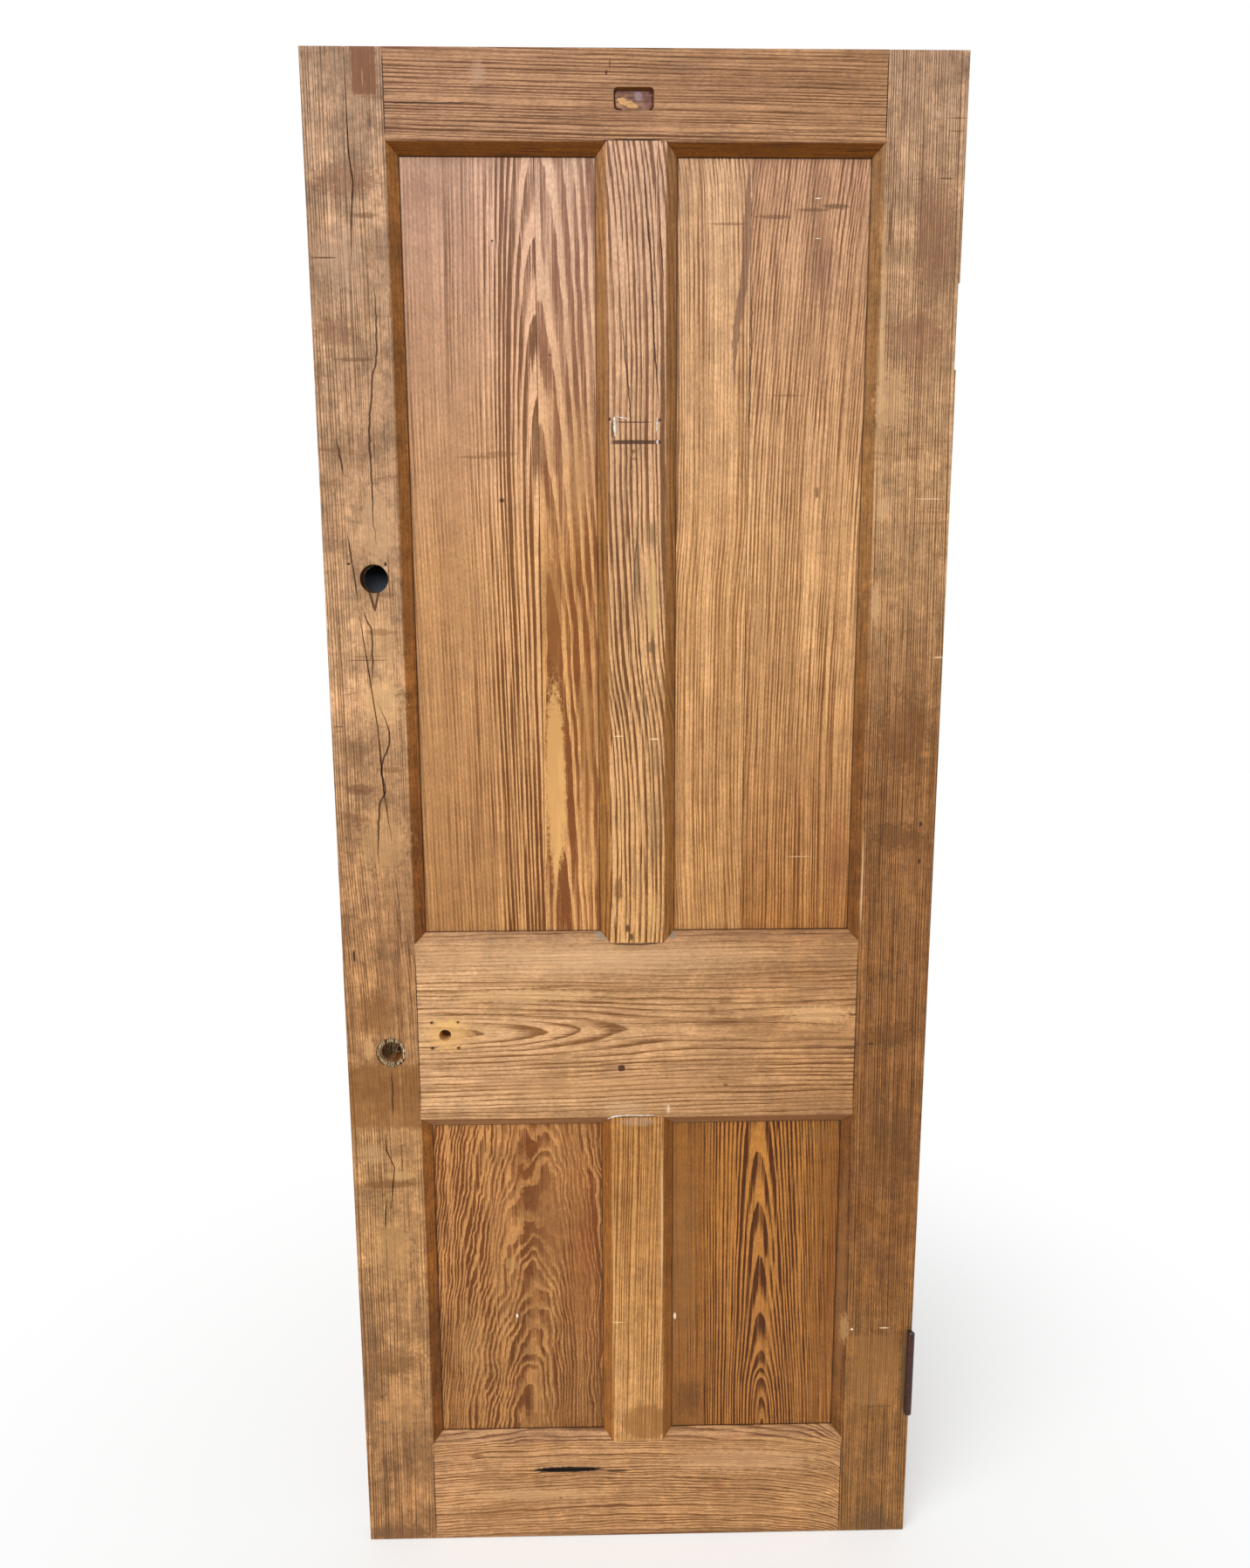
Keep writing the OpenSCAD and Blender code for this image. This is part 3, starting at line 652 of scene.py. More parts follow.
HANGING_STILE_MARKS: tuple[Mark, ...] = (
    Blot((298, 1660), (9, 340), "#d3ab7b", 0.65, 0.3, 0.8),
    Blot((296.5, 985), (3, 160), "#dbb184", 0.75, 0.3, 0.5),
    Blot((312, 1590), (44, 80), "#cda273", 0.45, 0.9, 0.35),
    Blot((306, 1460), (20, 34), "#cfa67c", 0.55, 0.5),
    Blot((301, 1345), (15, 64), "#d0a576", 0.6, 0.5),
    Blot((293, 330), (15, 60), "#bb935e", 0.55, 0.9, 0.6),
    Blot((386, 1962), (44, 50), "#574031", 0.6, 0.5, 0.9),
    Blot((358, 1780), (60, 140), "#845840", 0.45, 1, 0.35),
    Blot((338, 1665), (80, 60), "#885d43", 0.45, 1, 0.35),
    Blot((345, 1180), (80, 120), "#66401f", 0.45, 1, 0.4),
    Blot((338, 1045), (80, 40), "#59371a", 0.5, 1, 0.4),
    Blot((345, 770), (66, 44), "#583517", 0.5, 1, 0.4),
    Blot((345, 600), (90, 130), "#64401e", 0.4, 1, 0.4),
    Blot((385, 260), (18, 190), "#5e4f36", 0.7, 0.3, 0.4),
    Blot((288, 400), (15, 480), "#a0744a", 0.28, 0.4, 0.6),
    Blot((345, 12), (110, 60), "#553e29", 0.5, 0.6, 0.8),
    Blot((338, 262), (74, 122), "#a87642", 0.3, 0.3, 0.15, boxy=True),
    Blot((345, 205), (52, 5), "#67441f", 0.5, 0.5),
    Blot((303, 1790), (5, 54), "#553624", 0.75, 0.3, 0.4, 0.3),
    Blot((368, 1842), (22, 2.4), "#523624", 0.75, 0.3, 0.5, 0.3),
    Blot((330, 1841), (22, 1.6), "#523624", 0.5, 0.4),
    Blot((378, 1908), (30, 1.8), "#523928", 0.7, 0.3, 0.5, 0.3),
    Blot((378, 1894), (26, 1.8), "#523928", 0.6, 0.3, 0.5, 0.3),
    Blot((355, 1912), (9, 10), "#cba78a", 0.6, 0.3),
    Blot((363, 1473), (46, 2), "#dcb890", 0.7, 0.4),
    Blot((384, 1277), (16, 3), "#e0bb95", 0.8, 0.3),
    Blot((371, 1060), (4, 8), "#2a180d", 0.85, 0.3, 0.4, 0.5),
    Blot((371, 1010), (4, 9), "#2a180d", 0.85, 0.3, 0.4, 0.5),
    Blot((316, 757), (12, 5), "#3d2411", 0.7, 0.5),
    Blot((304, 328.5), (5, 4), "#f3e4c6", 0.95, 0.3),
    Blot((350, 330), (18, 2.6), "#e7cfa8", 0.85, 0.4),
)
TOP_RAIL_MARKS: tuple[Mark, ...] = (
    *(Blot((x, 1931), (1.8, 99), DIRT, 0.85, 0.2, 0.3, boxy=True) for x in JOINTS),
    Blot((-185, 1954), (28, 34), "#c49e84", 0.45, 0.5, 0.8),
    Blot((-35, 1954.5), (4.5, 7), "#442a1a", 0.85, 0.3, 0.5, 0.4),
    Blot((-31, 1964), (3, 14), "#553725", 0.7, 0.3),
    Blot((-3, 1927), (47, 25), "#5a392c", 0.75, 0.05, 0.1, boxy=True),
    Blot((60, 1962), (60, 20), "#7f5a4a", 0.35, 0.6, 0.9),
    Split(((-300, 1922), (-250, 1921), (-185, 1923)), 1.2),
    Split(((-292, 1905), (-120, 1907), (10, 1909)), 0.8, strength=0.6),
    Split(((30, 1889), (150, 1891), (292, 1893)), 1, strength=0.7),
    Split(((-42, 1881.9), (0, 1881.9), (38, 1881.9)), 2.6, "#1b0d07", 0.95, 1, 0.3),
)
LOCK_RAIL_MARKS: tuple[Mark, ...] = (
    *(Blot((x, 778.5), (1.8, 247), DIRT, 0.85, 0.2, 0.3, boxy=True) for x in JOINTS),
    # Painted shade on the lower chamfer, which faces down.
    Blot((0, 648), (700, 14), "#85542a", 0.6, 0.1, 0.1, boxy=True),
    Blot((-40, 880), (640, 70), "#dab286", 0.45, 0.5, 0.9),
    Blot((255, 880), (90, 50), "#8f6a49", 0.4, 0.7, 0.8),
    Blot((245, 800), (110, 26), "#dfb27c", 0.5, 0.9, 0.5),
    Blot((-150, 830), (240, 22), "#e0b47f", 0.45, 0.9, 0.5),
    Blot((-40, 700), (420, 40), "#b98a5c", 0.4, 0.9, 0.5),
    Blot((-254, 777), (78, 60), "#dcab69", 0.65, 0.8, 0.6),
    *(Blot((x, z), (9, 6.5), "#7a4f2b", 0.65, 0.5) for x in (-275.5, -240.5) for z in (757, 793)),
    Blot((-252, 791), (44, 10), "#e6b770", 0.55, 0.5),
    Blot((100, 806), (15, 11), "#835a33", 0.65, 0.5),
    Blot((116, 822), (24, 12), "#835a33", 0.6, 0.6),
    Blot((-21.5, 726), (12, 11), "#53290f", 0.85, 0.35, 0.4),
    Blot((120, 700), (9, 6), "#603a1b", 0.7, 0.4),
    Blot((-20, 669), (74, 24), "#bd9f7b", 0.3, 0.4, 0.6),
    Blot((42, 666), (6, 15), "#dcc7a4", 0.7, 0.4),
    Blot((-46, 912), (26, 16), "#8b8272", 0.65, 0.5),
    Blot((46, 912), (16, 14), "#7d7a6c", 0.6, 0.5),
    Blot((0, 896), (110, 9), "#8f673f", 0.4, 0.5),
    Split(((-40, 904), (-20, 900.4), (15, 900.4), (36, 906)), 2.4, "#41270f", 0.85),
    Split(((-294, 803), (-200, 804), (-90, 803)), 1, "#6b4525", 0.75),
    Split(((-60, 836), (60, 838), (292, 836)), 1.2, "#6b4525", 0.8),
    Split(((-293, 758.5), (-268, 758)), 1.6, "#5b3a1e", 0.8),
    Split(((-70, 793), (20, 789), (90, 790), (292, 783)), 1, "#6b4525", 0.75),
    Split(((-70, 761), (-10, 769), (30, 772), (80, 771)), 1.2, "#6b4525", 0.7),
    Split(((-230, 722), (-60, 728), (60, 730), (200, 727)), 1, "#6b4525", 0.6),
)
BOTTOM_RAIL_MARKS: tuple[Mark, ...] = (
    *(Blot((x, 77.5), (1.8, 155), DIRT, 0.85, 0.2, 0.3, boxy=True) for x in JOINTS),
    Blot((-102, 110.5), (112, 10), "#140c08", 0.97, 0.3, 0.25, 0.4),
    Blot((-30, 107), (44, 4.6), "#2a180e", 0.85, 0.4),
    Blot((-112, 64), (9, 6), "#4f3018", 0.8, 0.4),
    Blot((-233, 135), (26, 9), "#744822", 0.6, 0.5),
    Blot((115, 78), (34, 14), "#844b29", 0.5, 0.6),
    Blot((120, 62), (28, 10), "#844b29", 0.5, 0.6),
    Blot((0, 2), (820, 14), "#64452a", 0.5, 0.4),
    Blot((-200, 40), (150, 40), "#8d6138", 0.4, 0.9, 0.5),
    Blot((150, 120), (260, 44), "#c79a70", 0.4, 0.9, 0.5),
    Blot((-150, 70), (240, 20), "#d0a472", 0.45, 0.9, 0.5),
    Split(((-292, 132), (-150, 133), (20, 131)), 1.2, "#684524", 0.65),
    Split(((-60, 14), (-5, 22), (60, 10)), 1.8, "#6e4927", 0.6),
    Split(((-290, 88), (-120, 90), (60, 86)), 1, "#6e4927", 0.5),
)
RECESS_MARKS: tuple[Mark, ...] = (
    Blot((2, 1931), (13, 13), "#9c8187", 0.75, 0.5),
    Blot((-17, 1933), (12, 8), "#7a4a3c", 0.7, 0.5),
    Blot((13, 1926), (16, 18), "#6b4037", 0.55, 0.7),
    Blot((-20, 1929), (3, 4), NEAR_BLACK, 0.9, 0.3),
)
UPPER_MUNTIN_MARKS: tuple[Mark, ...] = (
    Blot((0, 1390), (15, 130), "#6a5134", 0.6, 0.5, 0.8),
    Blot((19, 1430), (24, 50), "#735b3a", 0.55, 0.5, 0.8),
    Blot((17, 1291), (17, 18), "#755939", 0.7, 0.3),
    Blot((20, 1355), (12, 120), "#cfa86c", 0.65, 0.3, 0.4),
    Blot((22, 1060), (30, 130), "#846240", 0.55, 0.6, 0.8),
    Blot((20, 1140), (26, 60), "#846240", 0.45, 0.6, 0.8),
    Blot((20, 945), (26, 80), "#cd9e62", 0.55, 0.5, 0.8),
    Blot((-25, 975), (15, 42), "#693e1b", 0.65, 0.5),
    Blot((-13.3, 922), (7, 13), "#472812", 0.85, 0.4),
    Blot((-7.7, 910), (6, 13), "#472812", 0.85, 0.4),
    Blot((-14, 988), (3, 3), NEAR_BLACK, 0.8),
    Blot((-24, 1178), (17, 1.6), "#efd6a4", 0.85, 0.3),
    Blot((22, 1174), (17, 2.2), "#f2d9a6", 0.9, 0.3),
    Blot((-30, 1556), (5, 28), "#513a2e", 0.75, 0.3),
    Blot((-25, 1560), (6, 22), "#9c8f82", 0.6, 0.4),
    Blot((-4, 1564.5), (50, 2), "#4f3122", 0.8, 0.3, 0.5, 0.5, boxy=True),
    Blot((-3, 1541), (64, 5.4), "#452821", 0.88, 0.12, 0.3, 0.5, boxy=True),
    Blot((-33, 1568), (4.4, 5), "#301b12", 0.85, 0.3, 0.4, 0.8),
    Blot((-21.5, 1569.5), (3.4, 3), "#301b12", 0.8, 0.3, 0.4, 0.8),
    Blot((28, 1567), (5, 5), "#352015", 0.85, 0.3, 0.4, 0.8),
    Blot((28, 1541), (5, 5), "#352015", 0.85, 0.3, 0.4, 0.8),
    Blot((-4, 1530), (8, 6), "#41291a", 0.6, 0.5),
    Blot((-3, 1521), (13, 4), "#41291a", 0.5, 0.5),
    Split(((1560, 29), (1600, 26), (1650, 22), (1700, 19.5), (1740, 18), (1800, 12.3), (1881, 7.3)), 1.6),
    Split(((1720, 33), (1760, 30), (1800, 27.3), (1881, 24)), 1.2),
    Split(((1485, -5), (1540, -6.5), (1580, -8.3), (1610, -10.7), (1650, -15), (1700, -18.5)), 1.3),
    Split(((1160, 11.5), (1200, 10), (1240, 7.5), (1270, 5), (1305, 0)), 2, "#4d3823", 0.8),
    Split(((1330, -2), (1380, -3), (1440, 1.5), (1480, 2)), 1.4, "#4d3823", 0.75),
)
LOWER_MUNTIN_MARKS: tuple[Mark, ...] = (
    Blot((33.5, 500), (4, 280), "#dcb27c", 0.7, 0.3),
    Blot((-33.5, 430), (3, 300), "#d3a870", 0.6, 0.3),
    Blot((12, 186), (76, 60), "#8b5a2a", 0.6, 0.25, 0.2),
    Blot((-28, 345), (22, 1.6), "#ead09f", 0.8, 0.3),
    Blot((0, 648), (64, 16), "#b0967c", 0.35, 0.4),
    Blot((0, 655.2), (70, 2.4), "#33200f", 0.8, 0.2, 0.4, boxy=True),
)
UPPER_LEFT_MARKS: tuple[Mark, ...] = (
    Blot((-121.4, 1392), (1.5, 952), "#43270f", 0.75, 0.3, 0.4, boxy=True),
    Blot((-173, 1775), (3.6, 3.6), "#301a0e", 0.9, 0.2),
    Blot((-168, 1473), (9, 7), "#301a0e", 0.85, 0.4),
    Blot((-106, 1645), (4, 3.4), "#4d2f1d", 0.8, 0.3),
    Blot((-195, 1525), (70, 5), "#74502f", 0.5, 0.6),
    Blot((-168, 1529), (50, 8), "#74502f", 0.5, 0.6),
    Blot((-260, 1830), (60, 50), "#85604a", 0.35, 0.7, 0.9),
    Blot((-106, 1120), (30, 300), "#dfaa68", 0.75, 0.5, 0.35),
    Blot((-104, 1330), (24, 190), "#8c5729", 0.6, 0.5, 0.4),
    Blot((-66, 1150), (22, 340), "#93602f", 0.5, 0.6, 0.5),
    Blot((-100, 985), (12, 46), "#7a4720", 0.7, 0.4, 0.4),
    Blot((-72, 1500), (30, 240), "#d3a068", 0.4, 0.6, 0.8),
)
UPPER_RIGHT_MARKS: tuple[Mark, ...] = (
    Blot((138.6, 1392), (1.5, 952), "#43270f", 0.75, 0.3, 0.4, boxy=True),
    Blot((110, 1795), (60, 4), "#674631", 0.5, 0.6),
    Blot((165, 1803), (50, 6), "#61402c", 0.6, 0.6),
    Blot((212, 1811), (50, 5), "#61402c", 0.6, 0.6),
    Blot((240, 1815), (42, 7), "#5a3a28", 0.65, 0.6),
    Blot((218, 1824), (10, 1.5), "#f4e0c4", 0.9, 0.3),
    Blot((219, 1779), (9, 1.3), "#f4e0c4", 0.8, 0.3),
    Blot((186, 1598), (56, 3), "#745032", 0.5, 0.6),
    Blot((226, 1482), (6, 17), "#643d20", 0.7, 0.4),
    Blot((264, 1010), (40, 240), "#84492a", 0.5, 0.5, 0.9),
    Blot((226, 1740), (60, 120), "#7d5a49", 0.35, 0.7, 0.9),
    Blot((214, 1015), (44, 1.6), "#ebcca0", 0.5, 0.5),
    Split(((1610, 121), (1640, 120), (1700, 126), (1760, 133), (1820, 134), (1872, 135)), 9, "#74503f", 0.7, 0,
          2),
    Split(((1540, 140.5), (1600, 140), (1660, 140.5), (1740, 139.5)), 1.4, "#4a2c18", 0.8),
)
LOWER_LEFT_MARKS: tuple[Mark, ...] = (
    Blot((-75, 440), (56, 420), "#84481f", 0.5, 0.6, 0.9),
    Blot((-128, 500), (86, 240), "#85532a", 0.62, 0.9, 0.8),
    Blot((-160, 575), (44, 70), "#7d4a20", 0.5, 0.8, 0.8),
    Blot((-235, 300), (70, 180), "#b98a54", 0.35, 0.9, 0.9),
    Blot((-178, 430), (22, 24), "#bd8e58", 0.5, 0.5),
    Blot((-171, 349), (4, 7), "#fdf5e4", 0.95, 0.3),
)
LOWER_RIGHT_MARKS: tuple[Mark, ...] = (
    Blot((66, 430), (50, 480), "#8d6338", 0.4, 0.5, 0.95),
    Blot((74, 215), (60, 80), "#59371b", 0.55, 0.6, 0.9),
    Blot((272, 430), (22, 460), "#733d15", 0.45, 0.4, 0.8),
    Blot((53, 345), (5, 12), "#eddcbb", 0.9, 0.3),
    Blot((250, 620), (60, 40), "#8a6036", 0.4, 0.6, 0.9),
)


@dataclass(frozen=True)
class Iron:
    """Cast or pressed iron under old red-brown paint, with rust breaking through: dull, blotched and pitted."""

    name: str
    paint: str
    rust: str
    bare: str
    metallic: float = 0.35
    roughness: float = 0.62

    def make(self) -> bpy.types.Material:
        """Build the node material.

        Returns:
            The finished material.
        """
        material, sheet = blank_material(self.name)
        spot = millimetres(sheet)
        broad = sheet.add(Kind.NOISE, {"Vector": spot, "Scale": 1 / 9, "Detail": 5, "Roughness": 0.65})
        fine = sheet.add(Kind.NOISE, {"Vector": spot, "Scale": 1 / 1.4, "Detail": 3})
        rusty = sheet.add(Kind.RANGE, (broad, 0.42, 0.62, 0, 1))
        colour = sheet.add(Kind.MIX, {0: rusty, 6: linear(self.paint), 7: linear(self.rust)}, 2)
        worn = sheet.add(Kind.RANGE, (fine, 0.6, 0.72, 0, 0.55))
        colour = sheet.add(Kind.MIX, {0: worn, 6: colour, 7: linear(self.bare)}, 2)
        rough = sheet.add(Kind.RANGE, (fine, 0.3, 0.7, self.roughness - 0.12, self.roughness + 0.12))
        pits = sheet.add(Kind.PLUS, (fine, broad))
        bump = sheet.add(Kind.BUMP, {"Height": pits, "Strength": 0.5, "Distance": 0.4 * MM})
        shader = sheet.add(Kind.SHADER,
                           {"Base Color": colour, "Metallic": self.metallic, "Roughness": rough,
                            "Normal": bump})
        sheet.add(Kind.OUTPUT, {"Surface": shader})
        return material


@dataclass
class Timbers:
    """All boards of the leaf: two stiles, three rails, two muntins and the panels, with the wedges in their ends."""

    nodes: dict[str, bpy.types.Object]
    arris: float = 0.5
    finishes: dict[str, Pine] = field(default_factory=dict)

    def plan(self) -> None:
        """Write down how each board was sawn, what age did to it, and the painted shade in its chamfers and panel
        rims.
        """
        self.finishes = {
            "lock_stile": Pine(
                "lock stile pine", Grain.UPRIGHT,
                early=((0, "#ad7e50"), (600, "#c59663"), (850, "#b68557"), (1200, "#cfa175"),
                       (1981, "#c09a7c")),
                late=((0, "#674324"), (600, "#744d2a"), (850, "#714a29"), (1200, "#7f5937"), (1981, "#705239")),
                pith_across=((0, -455), (700, -450), (1100, -470), (1981, -475)), pith_depth=((0, 40),),
                ring=3.2,
                contrast=((-390, 0.75), (-350, 0.65), (-330, 0.45), (-296, 0.45), (-294, 0.2), (-281, 0.2)),
                wander=5, mottle=0.32, smear=0.6, fleck=0.4, marks=LOCK_STILE_MARKS),
            "hanging_stile": Pine(
                "hanging stile pine", Grain.UPRIGHT,
                early=((0, "#9a6c3b"), (500, "#936233"), (1150, "#9e6e42"), (1500, "#c49a6e"),
                       (1981, "#be9878")),
                late=((0, "#5d3c1a"), (500, "#583211"), (1150, "#5e3917"), (1500, "#7d5735"),
                      (1981, "#765640")), pith_across=((0, 520), (1981, 500)), pith_depth=((0, 20),), ring=2.8,
                contrast=((281, 0.2), (294, 0.25), (296, 1.1), (390, 1.1)), wander=3, mottle=0.24, smear=0.4,
                fleck=0.4, chamfer="#ddcca6", marks=HANGING_STILE_MARKS),
            # The top rail's chamfer faces down; its dark yellow-brown tint is painted shade as well as old finish.
            "top_rail": Pine(
                "top rail pine", Grain.LEVEL, early=((-300, "#bb8d69"), (300, "#b98a62")),
                late=((-300, "#674026"), (300, "#664224")), pith_across=((-300, 2090), (300, 2078)),
                pith_depth=((0, 45),), ring=4, late_share=0.4,
                contrast=((1868, 0.2), (1881, 0.3), (1883, 1.05), (1940, 1), (1981, 0.7)), wander=3, wild=0.9,
                mottle=0.13, chamfer="#b99112", marks=TOP_RAIL_MARKS),
            "lock_rail": Pine(
                "lock rail pine", Grain.LEVEL, early=((-300, "#daab7c"), (300, "#ba895a")),
                late=((-300, "#875c32"), (300, "#6b421e")), pith_across=((-300, 776), (300, 782)),
                pith_depth=((-300, 5), (-185, 14), (-75, 24), (15, 31), (70, 33), (300, 32)), ring=6,
                late_share=0.26, contrast=((655, 0.6), (720, 0.85), (780, 0.85), (840, 0.6), (902, 0.4)),
                wander=5, wild=3, wild_size=(18, 110), mottle=0.16, smear=0.3, chamfer="#e6e4e8",
                marks=LOCK_RAIL_MARKS),
            "bottom_rail": Pine(
                "bottom rail pine", Grain.LEVEL, early=((-300, "#c59466"), (300, "#be8e5c")),
                late=((-300, "#774d26"), (300, "#734a28")), pith_across=((-300, -70), (100, -60), (300, -110)),
                pith_depth=((0, 36),), ring=4.8, late_share=0.35, contrast=((0, 1),), wander=8, wild=4.5,
                wild_size=(18, 64), mottle=0.18, smear=0.3, chamfer="#eeeef6", marks=BOTTOM_RAIL_MARKS),
            "upper_muntin": Pine(
                "upper muntin pine", Grain.UPRIGHT,
                early=((900, "#dca66a"), (1300, "#d9a673"), (1881, "#d5a989")),
                late=((900, "#6d4019"), (1300, "#704825"), (1881, "#815a42")),
                pith_across=((880, -96), (1000, -92), (1150, -98), (1300, -116), (1500, -124), (1700, -126),
                             (1890, -142)), pith_depth=((0, 12),), ring=6.6, late_share=0.42,
                contrast=((-48, 0.3), (-36, 0.4), (-34, 1.7), (34, 1.6), (36, 0.4), (48, 0.3)), wander=4,
                wild=2.6, wild_size=(14, 110), mottle=0.14, chamfer="#d7c49b", marks=UPPER_MUNTIN_MARKS),
            "lower_muntin": Pine(
                "lower muntin pine", Grain.UPRIGHT, early=((150, "#d39e63"), (660, "#c1884c")),
                late=((150, "#885829"), (660, "#7d4d1b")), pith_across=((150, -190), (660, -180)),
                pith_depth=((0, 20),), ring=4.2,
                contrast=((-48, 0.2), (-36, 0.3), (-34, 0.8), (34, 0.8), (36, 0.3), (48, 0.2)), wander=4,
                mottle=0.19, chamfer="#d2bc90", marks=LOWER_MUNTIN_MARKS),
            "upper_left_outer_board": Pine(
                "upper left straight panel pine", Grain.UPRIGHT,
                early=((900, "#cd955c"), (1400, "#e4ac76"), (1881, "#dfb298")),
                late=((900, "#683b15"), (1400, "#754921"), (1881, "#7a553e")),
                pith_across=((900, -96), (1250, -106), (1575, -118), (1881, -122)),
                pith_depth=((900, 8), (1250, 16), (1575, 30), (1700, 37), (1881, 46)), face=PANEL_Y, ring=4.9,
                late_share=0.56, contrast=((-290, 0.3), (-205, 0.35), (-182, 0.8), (-165, 1.35), (-118, 1.35)),
                wander=2.5, mottle=0.11, fleck=0.08, chamfer=None, rim=(-281.5, 0, 915.5, 1868.5),
                marks=UPPER_LEFT_MARKS),
            "upper_left_inner_board": Pine(
                "upper left arched panel pine", Grain.UPRIGHT,
                early=((900, "#dda466"), (1400, "#d49c61"), (1881, "#deb79c")),
                late=((900, "#7c451c"), (1400, "#814c22"), (1881, "#906753")),
                pith_across=((900, -96), (1250, -106), (1575, -118), (1881, -122)),
                pith_depth=((900, 12), (1250, 22), (1575, 36), (1700, 43), (1881, 55)), face=PANEL_Y, ring=8.4,
                late_share=0.56, contrast=((0, 0.9),), wander=6, wild=3.4, wild_size=(24, 80), mottle=0.11,
                fleck=0.1, chamfer=None, rim=(-281.5, -48.5, 915.5, 1868.5), marks=UPPER_LEFT_MARKS),
            "upper_right_inner_board": Pine(
                "upper right inner panel pine", Grain.UPRIGHT,
                early=((900, "#d19a61"), (1400, "#e7b27b"), (1881, "#e3b78d")),
                late=((900, "#815123"), (1400, "#906031"), (1881, "#865b3d")),
                pith_across=((900, -150), (1300, -157), (1500, -148), (1881, -166)), pith_depth=((0, 14),),
                face=PANEL_Y, ring=4.6, contrast=((0, 0.64),), wander=5, wild=1.4, mottle=0.14, fleck=0.2,
                chamfer=None, rim=(48.5, 281.5, 915.5, 1868.5), marks=UPPER_RIGHT_MARKS),
            "upper_right_outer_board": Pine(
                "upper right outer panel pine", Grain.UPRIGHT,
                early=((900, "#ba7f43"), (1400, "#e6b27b"), (1881, "#cd9e7b")),
                late=((900, "#67360e"), (1400, "#87582e"), (1881, "#714731")),
                pith_across=((900, 430), (1400, 436), (1700, 452), (1881, 470)), pith_depth=((0, 14),),
                face=PANEL_Y, ring=4.4, contrast=((0, 0.66),), wander=6, wild=1.4, mottle=0.14, fleck=0.2,
                chamfer=None, rim=(48.5, 281.5, 915.5, 1868.5), marks=UPPER_RIGHT_MARKS),
            "lower_left_panel": Pine(
                "lower left flame panel pine", Grain.UPRIGHT, early=((150, "#ad7a46"), (660, "#c58b52")),
                late=((150, "#673a16"), (660, "#733f17")), pith_across=((150, -165), (400, -150), (660, -140)),
                pith_depth=((150, 14), (300, 38), (450, 60), (660, 92)), face=PANEL_Y, ring=4.6,
                late_share=0.56,
                contrast=((-285, 1.5), (-205, 1.4), (-165, 0.9), (-130, 0.7), (-90, 0.6), (-45, 0.9)),
                wander=14, wild=11, wild_size=(46, 80), wild_detail=4, mottle=0.19, chamfer=None,
                rim=(-281.5, -48.5, 168.5, 641.5), marks=LOWER_LEFT_MARKS),
            "lower_right_panel": Pine(
                "lower right arched panel pine", Grain.UPRIGHT, early=((150, "#aa7137"), (660, "#b67835")),
                late=((150, "#502707"), (660, "#4c2305")), pith_across=((165, 181), (655, 166)),
                pith_depth=((165, 2), (200, 6), (235, 11), (258, 15.4), (290, 19.8), (350, 24.5), (450, 29.5),
                            (540, 34), (660, 39)), face=PANEL_Y, ring=4, late_share=0.5,
                contrast=((45, 0.2), (90, 0.35), (116, 1.7), (165, 1.5), (205, 1.7), (238, 1.1), (256, 0.5),
                          (285, 0.4)), wander=2, wild=0.9, mottle=0.16, fleck=0.1, chamfer=None,
                rim=(48.5, 281.5, 168.5, 641.5), marks=LOWER_RIGHT_MARKS),
        }
        for rail in ("top", "lock", "bottom"):
            wedge = Pine(f"{rail} rail wedge pine", Grain.LEVEL, early=((-390, "#b98d62"), (390, "#b98d62")),
                         late=((-390, "#82592f"), (390, "#82592f")), pith_across=((0, -300),),
                         pith_depth=((0, 90),), ring=2.5, chamfer=None)
            self.finishes[f"{rail}_rail_wedges"] = wedge

    def dress(self) -> None:
        """Give every board its own finish and ease its arrises, as handling does."""
        for name, finish in self.finishes.items():
            board = self.nodes[name]
            board.data.materials.clear()
            board.data.materials.append(finish.make())
            ease(board, self.arris)
            LOG.info("%s: %s", name, finish.name)


def ease(piece: bpy.types.Object, width: float) -> None:
    """Join a solid's loose triangles and round its sharp edges a little.

    Args:
        piece: The solid.
        width: Width of the rounding in millimetres.
    """
    weld = piece.modifiers.new("join", "WELD")
    weld.merge_threshold = 0.01 * MM
    flats = piece.modifiers.new("flats", "DECIMATE")
    flats.decimate_type = "DISSOLVE"
    flats.angle_limit = math.radians(0.5)
    bevel = piece.modifiers.new("arris", "BEVEL")
    bevel.width = width * MM
    bevel.segments = 2
    bevel.limit_method = "ANGLE"
    bevel.angle_limit = math.radians(35)
    bevel.use_clamp_overlap = False


@dataclass
class ButtHinge:
    """The lower hinge: two leaves, their pin and four screws."""

    nodes: dict[str, bpy.types.Object]
    paint: Iron = Iron("rusted cast iron, old red paint", "#46211a", "#271611", "#7a4434", roughness=0.46)
    steel: Iron = Iron("dull worn steel", "#5d5651", "#4a3c33", "#8c847c", metallic=0.8, roughness=0.5)

    def dress(self) -> None:
        """Paint the leaves and leave pin and screws as worn steel."""
        painted = self.paint.make()
        worn = self.steel.make()
        for name, finish in (("hinge_door_leaf", painted), ("hinge_frame_leaf", painted), ("hinge_pin", worn),
                             ("hinge_screws", worn)):
            piece = self.nodes[name]
            piece.data.materials.clear()
            piece.data.materials.append(finish)
            LOG.info("%s: %s", name, finish.name)


